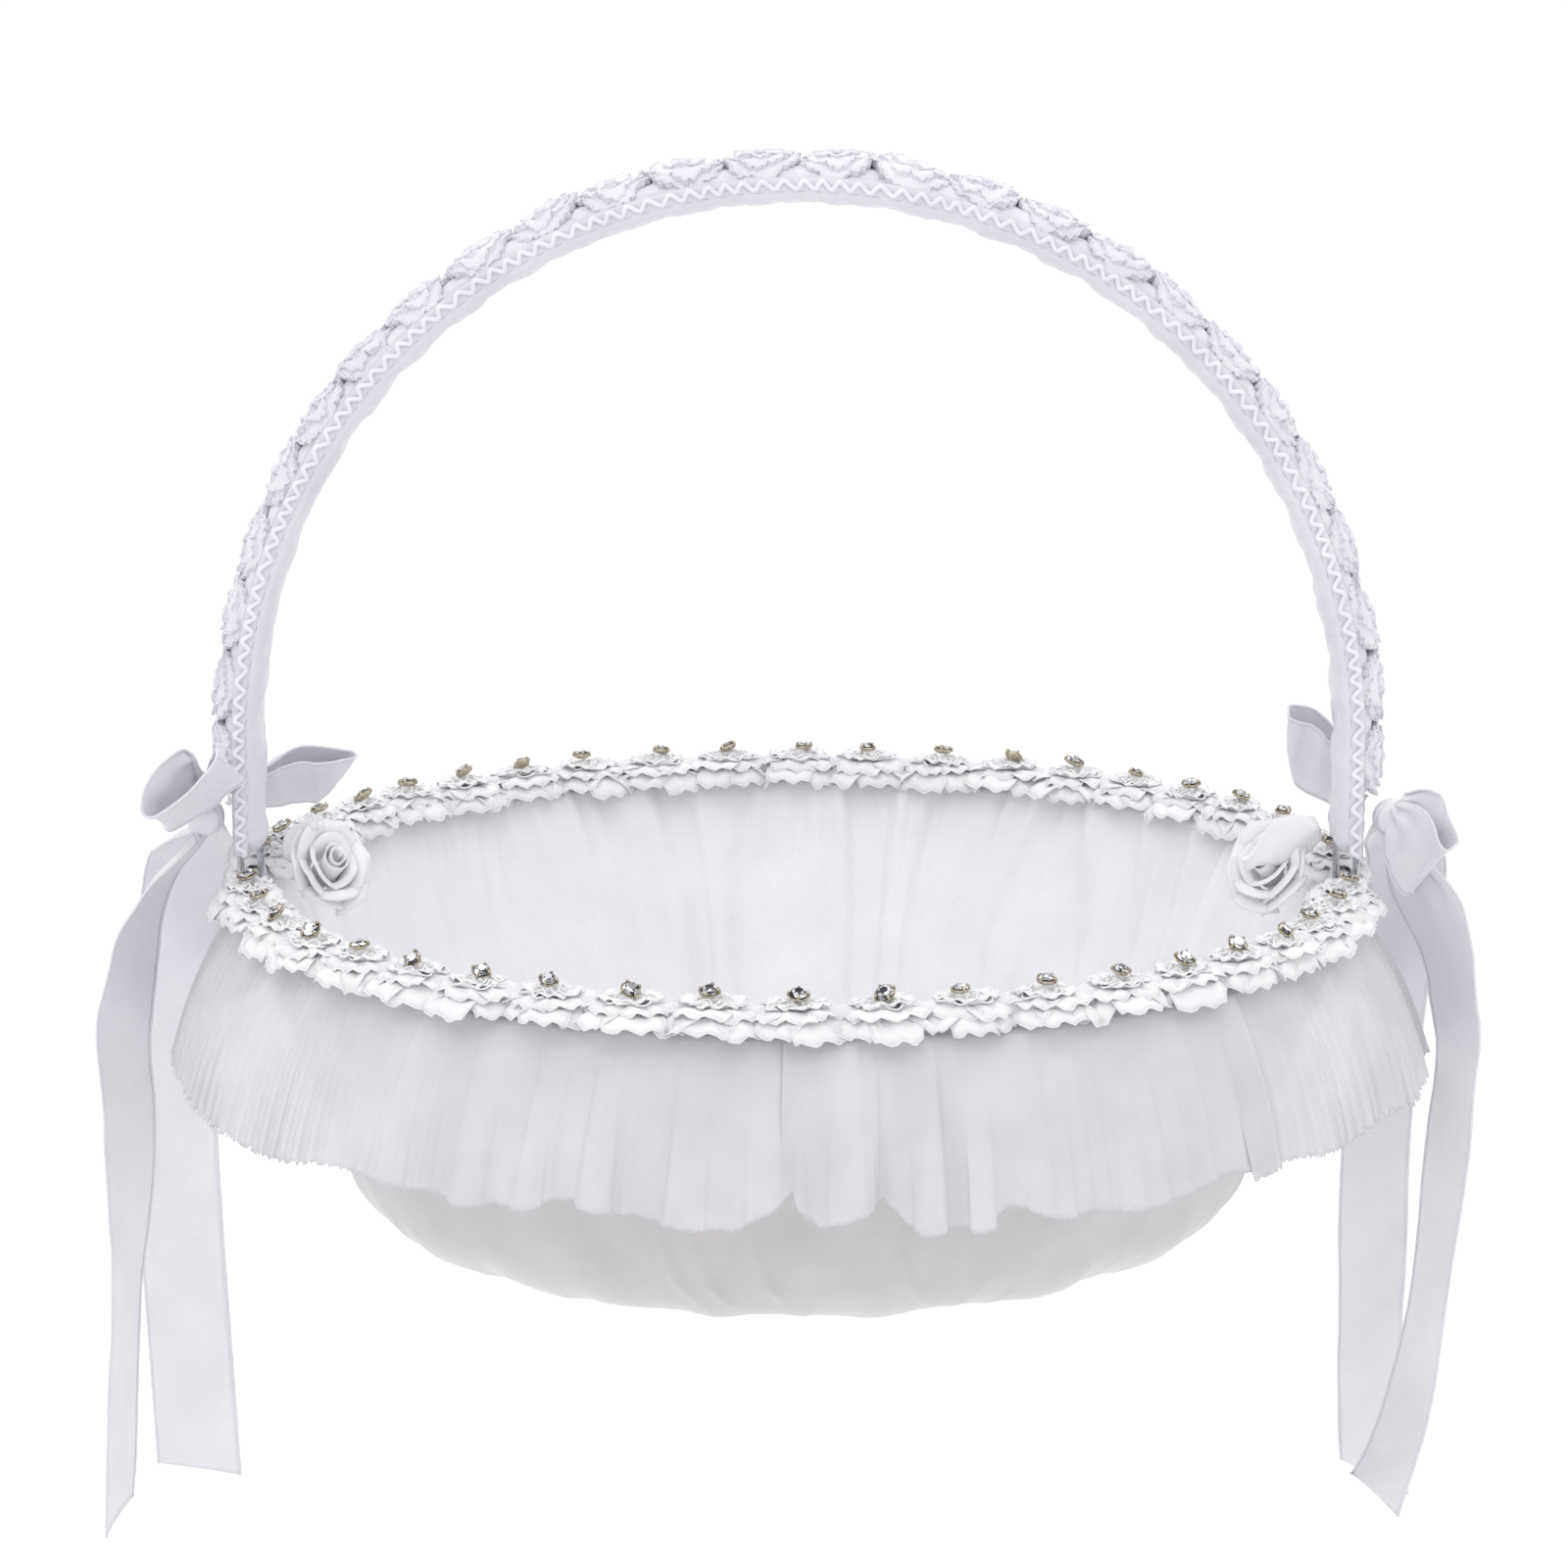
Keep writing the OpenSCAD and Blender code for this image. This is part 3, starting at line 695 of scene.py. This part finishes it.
def rose_petal(turn, radius, height, spread, wide, point):
    """One petal of a satin rose: upright at its foot, rolled outwards at its lip."""
    up = np.linspace(0, 1, 12)[:, None]
    across = np.linspace(-1, 1, 17)[None]
    lip = 1 - 0.30 * np.abs(across) ** 2.4 + point * np.exp(-(across / 0.22) ** 2)
    angle = turn + wide * across * (0.75 + 0.25 * up)
    out = radius + spread * up ** 1.6 + 0.7 * smooth((up - 0.72) / 0.28)
    z = height * up * lip - 0.9 * smooth((up - 0.8) / 0.2)
    out, angle, z = np.broadcast_arrays(out, angle, z)
    return np.stack([out * np.cos(angle), out * np.sin(angle), z], -1)


# petals in the ring, radius, height, spread at the lip, half width in radians
ROSE_RINGS = ((3, 2.4, 7.2, 1.6, 1.25), (5, 3.1, 6.8, 3.2, 0.85), (6, 3.4, 5.0, 4.2, 0.7))
ROSE_SCALE = (1.05, 1.05, 1.28)
ROSE_AT = (95.3, 3.2)             # distance from the bowl's axis, height
ROSE_FACING = math.radians(-60)   # the left rose looks in over the bowl and to the front
ROSE_LEAN = 0.95

# each rose's one long outer petal, drawn on the right: foot, tip, half width, width's direction
ROSE_LEAVES = {
    -1: ((103, 1, 3.5), (97.5, -1.5, 13.5), 3.4, (0.9, -0.3, 0.3)),
    1: ((106, -2, 11.0), (90.5, -7, 4.5), 5.2, (-0.35, -0.25, 0.9)),
}


def rose_leaf(foot, tip, half, wide):
    """A long pointed petal, cupped along its length."""
    t = np.linspace(0, 1, 22)[:, None, None]
    across = np.linspace(-1, 1, 13)[None, :, None]
    foot, tip, wide = (np.asarray(v, float) for v in (foot, tip, wide))
    through = unit(np.cross(tip - foot, wide))
    width = half * (0.3 + 0.7 * np.sin(math.pi * np.clip(t * 1.08 + 0.1, 0, 1)))
    hollow = 1.3 * across ** 2 + 0.9 * np.sin(math.pi * t) - 0.5 * np.sin(5 * t + 3 * across)
    return foot + (tip - foot) * t + unit(wide) * width * across + through * hollow


def satin_rose(side, seed):
    """A wound bud, three rings of petals round it and one long leaf-shaped petal."""
    shape = Shape()
    draw = np.random.default_rng(seed)
    coil = np.linspace(0, 2.2 * TAU, 110)[None]
    up = np.linspace(0, 1, 8)[:, None]
    bud_r = 0.5 + 1.9 * coil / coil.max() + 0.35 * up ** 2
    bud_z = 1.0 + up * (7.4 - 1.3 * coil / coil.max() + 0.3 * np.sin(2.3 * coil))
    bud_r, turn, bud_z = np.broadcast_arrays(bud_r, coil, bud_z)
    petals = [np.stack([bud_r * np.cos(turn), bud_r * np.sin(turn), bud_z], -1)]
    for count, radius, height, spread, wide in ROSE_RINGS:
        start = draw.uniform(0, TAU)
        for k in range(count):
            petals.append(rose_petal(
                start + TAU * (k + draw.uniform(-0.12, 0.12)) / count, radius,
                height * draw.uniform(0.93, 1.05), spread * draw.uniform(0.9, 1.1), wide,
                draw.uniform(0.0, 0.16)))
    for points in petals:
        flat = points.reshape(-1, 3) - (0, 0, 4.0)
        leaned = tilt(flat, ROSE_FACING if side < 0 else math.pi - ROSE_FACING, ROSE_LEAN)
        leaned = leaned.reshape(points.shape) * ROSE_SCALE
        shape.grid(leaned + (side * ROSE_AT[0], 0, ROSE_AT[1]))
    shape.grid(mirror(rose_leaf(*ROSE_LEAVES[side]), side))
    name = "rose_left" if side < 0 else "rose_right"
    rose = shape.object(name + "_petals", ROSE_SATIN, thickness=0.25)
    return finish_piece(rose, "basket", "satin", name)


# ---------- the handle ----------

def on_handle(s, radius, rise, y):
    """Points along the handle: s from the crown, rise out from the arch of that radius."""
    s, rise, y = np.broadcast_arrays(s, rise, y)
    side = np.sign(s)
    beyond = np.maximum(0, np.abs(s) - radius * math.pi / 2)
    turn = np.minimum(math.pi / 2, np.abs(s) / radius)
    x = side * (radius + rise) * np.sin(turn)
    z = LEG_H + (radius + rise) * np.cos(turn) - beyond
    return np.stack([x, y, z], -1)


def handle_length(radius, foot_z):
    """Distance along the handle from its crown to a height on the leg."""
    return radius * math.pi / 2 + LEG_H - foot_z


def line_waves(s, seed, low, high):
    """Irregular waves along a line, between -1 and 1; low and high are wavelengths."""
    draw = np.random.default_rng(seed)
    total = sum(np.cos(TAU * s / draw.uniform(low, high) + draw.uniform(0, TAU))
                for _ in range(WAVE_COUNT))
    return np.tanh(total / math.sqrt(WAVE_COUNT / 2))


def make_sleeve():
    """Satin sleeve, ruched over its padding and drawn in at both ends."""
    reach = handle_length(RIM_R, SLEEVE_LOW)
    s = np.linspace(-reach, reach, 500)[:, None]
    turn = np.linspace(0, TAU, 44, endpoint=False)[None]
    c, n = np.cos(turn), np.sin(turn)
    rise = SLEEVE_HALF[0] * np.sign(c) * np.abs(c) ** 0.75
    y = SLEEVE_HALF[1] * np.sign(n) * np.abs(n) ** 0.8
    inner = smooth(0.5 - rise / 4)
    lumps = 0.38 * line_waves(s, 51, 11, 22) * inner
    gathers = 0.28 * line_waves(s + 0.6 * y, 52, 2.4, 4.4) * smooth((np.abs(y) - 3) / 6)
    folds = 0.22 * line_waves(s - 0.5 * y, 53, 4, 8)
    shut = 1 - 0.45 * smooth((np.abs(s) - reach + 3.5) / 3.5) ** 2
    swell = 1 - 0.25 / SLEEVE_HALF[0]
    rise = rise * swell + lumps * c + (gathers + folds) * c
    shape = Shape()
    shape.grid(on_handle(s, RIM_R, rise * shut, y * shut), wrap=True)
    # darker satin, painted shade for the sleeve's shaded sides
    sleeve = shape.object("handle_sleeve_satin", SLEEVE_SATIN_PAINTED_SHADE, thickness=CLOTH)
    return finish_piece(sleeve, "handle", "satin", "handle_sleeve")


FRILL_RISE = 1.1         # height of the seam above the middle of the sleeve's edge
FRILL_PITCH = 3.8


def make_frill(side, name):
    """The gathered seam along one edge of the sleeve: a narrow band thrown into a zigzag."""
    reach = handle_length(RIM_R, SLEEVE_LOW)
    s = np.linspace(-reach, reach, 1500)
    phase = TAU * s / FRILL_PITCH + 0.9 * line_waves(s, 55 + side, 20, 45)
    rise = FRILL_RISE + 0.78 * np.sin(phase) + 0.1 * np.sin(2 * phase)
    edge = SLEEVE_HALF[1] + 0.75 + 0.2 * np.sin(phase + 1.2)
    centre = on_handle(s, RIM_R, rise, side * edge)
    shape = Shape()
    shape.tube(centre, (0.48, 0.5 + 0.08 * np.sin(phase / 2)), up=(0, 1, 0), sides=8)
    band = on_handle(s, RIM_R, FRILL_RISE, side * (edge - 0.75))
    shape.tube(band, (1.5, 0.3), up=(0, 1, 0), sides=8, part=1)
    # the zigzag takes the plain satin and the band under it the darker satin, which is painted
    # shade
    frill = shape.object(name + "_gathers", SATIN, SLEEVE_SATIN_PAINTED_SHADE)
    return finish_piece(frill, "handle", "satin", name)


def make_padding():
    """Foam strip between the two wires, dented every few millimetres."""
    reach = handle_length(RIM_R, SLEEVE_LOW) - 1.0
    s = np.linspace(-reach, reach, 260)[:, None]
    turn = np.linspace(0, TAU, 24, endpoint=False)[None]
    c, n = np.cos(turn), np.sin(turn)
    dent = 1 - 0.07 * (0.5 + 0.5 * line_waves(s, 57, 5, 11))
    rise = 1.2 * np.sign(c) * np.abs(c) ** 0.6 * dent
    y = 7.5 * np.sign(n) * np.abs(n) ** 0.5 * dent
    shape = Shape()
    index = shape.grid(on_handle(s, RIM_R, rise, y), wrap=True)
    shape.cap(index[0, :-1])
    shape.cap(index[-1, :-1][::-1])
    padding = shape.object("handle_padding_foam", PADDING)
    return finish_piece(padding, "handle", "padding", "handle_padding")


def make_tape():
    """Scalloped lace tape under the flowers."""
    reach = handle_length(TAPE_R, TAPE_LOW)
    s = np.linspace(-reach, reach, 900)[:, None]
    across = np.linspace(-1, 1, 15)[None]
    y = across * (TAPE_HALF + 0.5 * np.abs(np.sin(math.pi * s / SCALLOP)))
    ripple = 0.12 * np.sin(TAU * s / SCALLOP) * np.abs(across)
    droop = 0.75 * np.maximum(np.abs(y) - FLAT_TOP, 0) ** 1.15
    shape = Shape()
    shape.grid(on_handle(s, TAPE_R, ripple + 0.1 - droop, y))
    tape = shape.object("lace_tape_scalloped", LACE, thickness=0.25)
    return finish_piece(tape, "handle", "lace", "lace_tape")


# petals, outer radius, share of the radius between petals, height, cup, turn
FLOWER_LAYERS = (
    (7, FLOWER_R + 1.9, 0.86, 1.0, 0.8, 0.0),
    (6, FLOWER_R + 0.5, 0.78, 1.7, 0.8, 0.3),
    (5, FLOWER_R - 2.0, 0.70, 2.3, 0.5, 0.1),
)
BEAD_PROFILE = ((0.3, 2.4), (1.1, 2.5), (1.25, 2.9), (0.9, 3.3), (0.2, 3.4))   # radius, height


def flower_layer(petals, radius, valley, height, cup, draw):
    """A disc cut into serrated petals: rows run outwards and columns run round."""
    turn = np.linspace(0, TAU, 112, endpoint=False)[None]
    out = np.linspace(0.12, 1, 7)[:, None]
    lobe = np.abs(np.cos(petals * turn / 2 + draw.uniform(0, TAU))) ** 0.62
    serration = 0.05 * np.sin(petals * 4 * turn + draw.uniform(0, TAU))
    reach = radius * (valley + (1 - valley) * lobe + serration * lobe)
    r = reach * out
    z = (height + cup * out ** 2 * (0.6 + 0.4 * waves(turn, int(draw.integers(1000)), 2, 5))
         + 0.25 * out * np.cos(petals * turn))
    r, turn, z = np.broadcast_arrays(r, turn, z)
    return np.stack([r * np.cos(turn), r * np.sin(turn), z], -1)


def make_flowers():
    """Lace flowers with corded outlines, sewn side by side along the top of the handle."""
    radius = TAPE_R + 0.1
    reach = handle_length(radius, FLOWER_FOOT)
    shape = Shape()
    draw = np.random.default_rng(61)
    for s in np.linspace(-reach, reach, FLOWER_COUNT):
        spin = draw.uniform(0, TAU)
        lean = draw.uniform(-0.12, 0.12)
        for petals, r, valley, height, cup, turn in FLOWER_LAYERS:
            layer = flower_layer(petals, r * draw.uniform(0.93, 1.04), valley, height, cup, draw)
            flat = turned(layer.reshape(-1, 3), spin + turn).reshape(layer.shape)
            lift = np.maximum(flat[..., 2] + lean * flat[..., 0], 0.15)
            # a short skirt closes each layer's edge down towards the tape
            lift = np.vstack([lift, lift[-1:] - 0.5, np.minimum(lift[-1:] - 1.0, 0.2)])
            flat = np.vstack([flat, flat[-1:] * 0.99, flat[-1:] * 0.96])
            lift = lift - 0.8 * np.maximum(np.abs(flat[..., 1]) - FLAT_TOP, 0) ** 1.15
            sewn = on_handle(s + flat[..., 0], radius, lift, flat[..., 1])
            shape.grid(sewn, wrap=True)
            shape.tube(sewn[-3], (0.16, 0.2), up=sewn[-3].mean(0) - (0, 0, LEG_H), sides=5,
                       closed=True)
        bead = np.array([ring_of(r, z, 10) for r, z in BEAD_PROFILE])
        index = shape.grid(on_handle(s + bead[..., 0], radius, bead[..., 2], bead[..., 1]),
                           wrap=True)
        shape.cap(index[-1, :-1])
    flowers = shape.object("lace_flowers_sewn", LACE, thickness=0.12)
    return finish_piece(flowers, "handle", "lace", "lace_flowers")


# ---------- bows and tails, drawn for the right foot ----------

def pinch(t, both_ends):
    """Share of the ribbon's full width: narrow at the knot, whole a fifth of the way along."""
    near = np.minimum(t, 1 - t) if both_ends else t
    return np.minimum(1, 0.3 + 3.4 * near)


def ribbon_surface(path, side, both_ends, seed, slant=0.0):
    """A ribbon along a path, cupped across its width and pleated where the knot pinches it."""
    count = len(path)
    t = np.linspace(0, 1, count)[:, None]
    across = np.linspace(-1, 1, 17)[None]
    ahead = unit(np.gradient(path, axis=0))
    through = unit(np.cross(ahead, side))
    width = RIBBON_HALF * pinch(t, both_ends)
    near = np.minimum(t, 1 - t) if both_ends else t
    pleats = np.exp(-(near / 0.16) ** 2) * 0.8
    slow = line_waves(t * count, seed, count / 2.5, count)
    hollow = RIBBON_CUP * (across ** 2 - 0.33) * (0.7 + 0.5 * slow)
    ruck = pleats * np.sin(2.5 * math.pi * across + seed) + hollow
    ruck = ruck + 0.3 * line_waves(t * count + 6 * across, seed + 1, count / 7, count / 4)
    points = (path[:, None] + (width * across)[..., None] * side[:, None]
              + ruck[..., None] * through[:, None])
    cut = slant * across[..., None] * ahead[-3:, None]
    points[-3:] = points[-3:] + cut * np.array([0.33, 0.66, 1.0])[:, None, None]
    return points


def add_ribbon(name, points, up):
    """The ribbon's sheet with a fine selvage along both edges."""
    shape = Shape()
    shape.grid(points)
    for edge in (0, -1):
        shape.tube(points[:, edge], (0.17, 0.17), up=up, sides=5)
    ribbon = shape.object(name + "_satin", RIBBON, thickness=CLOTH)
    return finish_piece(ribbon, "handle", "ribbon", name)


# name, side, path from the knot and back to it, width's direction at the knot and the tip, seed
LOOPS = (
    ("left_bow_front_loop", -1,
     ((119.5, -10.5, 17), (116, -13, 24), (113.8, -17, 27.5), (116, -20, 25), (120, -21, 21.5),
      (127.2, -21.5, 17), (128.3, -20, 19.5), (125, -18.5, 23.8), (121, -15.5, 27.6),
      (119.5, -11.5, 22)),
     (0.27, -0.72, 0.64), (0.14, -0.92, 0.36), 71),
    ("left_bow_rear_loop", -1,
     ((116.5, 13.5, 14.5), (110, 15, 15.4), (102, 18.5, 15.6), (95.5, 22, 15.6), (96, 24, 17.2),
      (103, 23.5, 18.6), (110, 20.5, 18.2), (116, 17, 16)),
     (-0.49, -0.6, 0.63), (-0.49, -0.6, 0.63), 74),
    ("right_bow_front_loop", 1,
     ((120, -9.5, 17), (121.5, -12.5, 14.5), (123.5, -15.5, 10.5), (125.8, -17, 6),
      (127.8, -15.5, 7.5), (126, -12, 12.5), (123.5, -9.5, 17), (121, -8.5, 18.5)),
     (0.42, -0.62, 0.66), (0.42, -0.62, 0.66), 77),
    ("right_bow_rear_loop", 1,
     ((116, 15, 14.5), (111, 14.5, 18), (106, 14.5, 21.5), (101.3, 16, 23.3), (102, 19.5, 25),
      (107.5, 21.5, 24), (113, 19, 19.5), (116.5, 16.5, 15.5)),
     (-0.15, -0.35, 0.92), (-0.15, -0.35, 0.92), 80),
)


def make_loop(name, side, way, wide_foot, wide_tip, seed):
    """One bow loop: out from the knot, round and back to it."""
    path = spline(way, 80)
    tip = np.sin(math.pi * np.linspace(0, 1, len(path)))[:, None] ** 2
    wide = unit(np.array(wide_foot) * (1 - tip) + np.array(wide_tip) * tip)
    points = ribbon_surface(path, wide, True, seed)
    return add_ribbon(name, mirror(points, side), (0.1, 0.2, 1))


# name, side, path, turn of the ribbon's width from the x axis in degrees at each point, slant
TAILS = (
    ("left_tail_front", -1,
     ((120.8, -8.2, 11), (125, -9, 6.5), (129.4, -9, 1.7), (133.5, -9, -6.5), (135.1, -8.5, -14.8),
      (137, -8, -25), (137.4, -8, -35.5), (137.2, -7, -48), (137.4, -6, -69), (139.4, -5, -95),
      (141, -4, -135)),
     (66, 70, 72, 68, 60, 58, 59, 61, 67, 77, 78), 1.5),
    ("left_tail_rear", -1,
     ((121, 6.5, 11), (124, 20, 5), (127.5, 36, -3), (130.5, 47, -16), (131.5, 50, -35),
      (133.3, 51, -62), (132.8, 52, -86), (131.5, 52, -112), (129.8, 51, -143)),
     (20, 18, 14, 10, 6, 5, 5, 5, 5), -1.6),
    ("right_tail_front", 1,
     ((120.8, -8, 11), (123, -9, 6.5), (125.9, -9, 1.8), (129.2, -9, -6.3), (132, -9, -15),
      (133.6, -9, -24), (134.2, -9, -33), (133.4, -8, -48), (131.4, -7, -70), (129.2, -6, -94),
      (127.1, -5, -107), (123.7, -5, -120), (120.1, -4, -130)),
     (50, 42, 36, 48, 57, 63, 67, 68, 70, 71, 68, 62, 55), 2.5),
    ("right_tail_rear", 1,
     ((121, 6.5, 11), (124, 20, 5), (127.5, 36, -3), (128.5, 47, -16), (126.5, 50, -35),
      (124.5, 51, -60), (123.9, 52, -90), (123.9, 52, -115), (125, 52, -145)),
     (20, 20, 25, 35, 40, 41, 42, 44, 40), 2.0),
)


def make_tail(name, side, way, turns, slant):
    """One hanging end of the bow's ribbon."""
    path = spline(way, 160)
    turn = np.radians(spline(np.array(turns)[:, None], len(path)))
    width = np.hstack([np.cos(turn), -np.sin(turn), 0 * turn])
    points = ribbon_surface(path, width, False, 80 + len(name), slant)
    return add_ribbon(name, mirror(points, side), (0.9, 0.3, 0.2))


def make_knot(name):
    """The ribbon's turn round the middle of the bow, with folds running across it."""
    low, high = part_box(name)
    centre = np.array((low + high) / 2) / MM - (0, 0, RIM_Z / MM)
    turn = np.linspace(0, TAU, 64, endpoint=False)[None]
    across = np.linspace(-1, 1, 21)[:, None]
    bulge = np.sqrt(1 - 0.55 * across ** 2)
    ridge = 0.22 * np.cos(4.5 * math.pi * across + 0.8 * np.sin(turn + 1))
    radius = 3.7 * bulge + ridge
    x = 3.6 * across + 0.25 * np.sin(2 * turn)
    x, radius, turn = np.broadcast_arrays(x, radius, turn)
    points = np.stack([radius * np.cos(turn), x, radius * np.sin(turn)], -1) + centre
    shape = Shape()
    index = shape.grid(points, wrap=True)
    shape.cap(index[0, :-1])
    shape.cap(index[-1, :-1][::-1])
    knot = shape.object(name + "_wrap", RIBBON)
    return finish_piece(knot, "handle", "ribbon", name)


# ---------- carried-over CAD parts ----------

def paint_frame():
    """Gives each wire and the board its own material."""
    for name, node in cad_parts.items():
        if name.startswith("rib_") or name in ("rim_ring", "mid_hoop", "base_ring", "hub_ring"):
            paint = FRAME_WIRE
        elif name == "handle_wire":
            paint = BARE_WIRE
        elif name == "base_board":
            paint = BOARD
        else:
            continue
        for material_slot in node.material_slots:
            material_slot.material = paint


# ---------- camera, light and floor ----------

CAMERA_AT = (0.0, -1.217, 0.2854)      # metres, from the rim wire's centre
CAMERA_DROP = math.radians(12.30)      # downwards from level
CAMERA_YAW = math.radians(0.137)       # towards the left
LENS = 140.87
FLOOR_GAP = 0.22                       # from the tails down to the floor
FLOOR_HALF = 9.0


def add_camera():
    data = bpy.data.cameras.new("camera")
    data.lens = LENS
    data.sensor_width = 36
    camera = bpy.data.objects.new("camera", data)
    camera.location = Vector(CAMERA_AT) + Vector((0, 0, RIM_Z))
    camera.rotation_euler = (math.pi / 2 - CAMERA_DROP, 0, CAMERA_YAW)
    bpy.context.scene.collection.objects.link(camera)
    bpy.context.scene.camera = camera


# name, place and size in metres, power in watts
LIGHTS = (
    ("key_light", (-0.5, -1.2, 1.7), (1.8, 1.8), 6),
    ("back_light", (0.4, 1.4, 1.5), (1.8, 1.4), 5),
)
LIT_POINT = Vector((0, 0, -0.1))       # both lamps face the middle of the basket


def add_area(name, place, size, power):
    data = bpy.data.lights.new(name, "AREA")
    data.shape = "RECTANGLE"
    data.size, data.size_y = size
    data.energy = power
    light = bpy.data.objects.new(name, data)
    light.location = place
    light.rotation_euler = (LIT_POINT - Vector(place)).to_track_quat("-Z", "Y").to_euler()
    bpy.context.scene.collection.objects.link(light)


def add_world():
    """White studio surroundings, a little brighter overhead."""
    world = bpy.data.worlds.new("studio")
    world.use_nodes = True
    nodes, links = world.node_tree.nodes, world.node_tree.links
    place = nodes.new("ShaderNodeTexCoord")
    split = nodes.new("ShaderNodeSeparateXYZ")
    ramp = nodes.new("ShaderNodeValToRGB")
    ramp.color_ramp.elements[0].color = (0.52, 0.52, 0.54, 1)
    ramp.color_ramp.elements[1].color = (1.0, 1.0, 1.0, 1)
    links.new(place.outputs["Generated"], split.inputs["Vector"])
    links.new(split.outputs["Z"], ramp.inputs["Fac"])
    links.new(ramp.outputs["Color"], nodes["Background"].inputs["Color"])
    nodes["Background"].inputs["Strength"].default_value = 1.32
    bpy.context.scene.world = world


def add_floor():
    """A pale floor well below the ribbon tails, since the basket hangs by its handle."""
    level = CAD_BOX[0][2] - FLOOR_GAP
    mesh = bpy.data.meshes.new("floor")
    corners = [(x * FLOOR_HALF, y * FLOOR_HALF, level)
               for x, y in ((-1, -1), (1, -1), (1, 1), (-1, 1))]
    mesh.from_pydata(corners, [], [(0, 1, 2, 3)])
    material, nodes, links, body = node_material("floor_paper")
    place = nodes.new("ShaderNodeTexCoord")
    grain = add_noise(nodes, links, place, 6.0)
    shade(nodes, links, body, grain.outputs["Fac"], (0.95, 0.95, 0.955), (0.97, 0.97, 0.97))
    body.inputs["Roughness"].default_value = 0.9
    mesh.materials.append(material)
    floor = bpy.data.objects.new("floor", mesh)
    bpy.context.scene.collection.objects.link(floor)


def light_scene():
    bpy.context.scene.view_settings.view_transform = "Standard"
    add_world()
    add_floor()
    for lamp in LIGHTS:
        add_area(*lamp)


# ---------- the whole object ----------

add_camera()
paint_frame()
make_outer_cover()
make_liner()
make_binding()
make_ruffle()
make_rosettes()
make_rhinestones()
satin_rose(-1, 41)
satin_rose(1, 42)
make_padding()
make_sleeve()
make_frill(-1, "sleeve_frill_front")
make_frill(1, "sleeve_frill_rear")
make_tape()
make_flowers()
make_knot("left_bow_knot")
make_knot("right_bow_knot")
for loop in LOOPS:
    make_loop(*loop)
for tail in TAILS:
    make_tail(*tail)
light_scene()
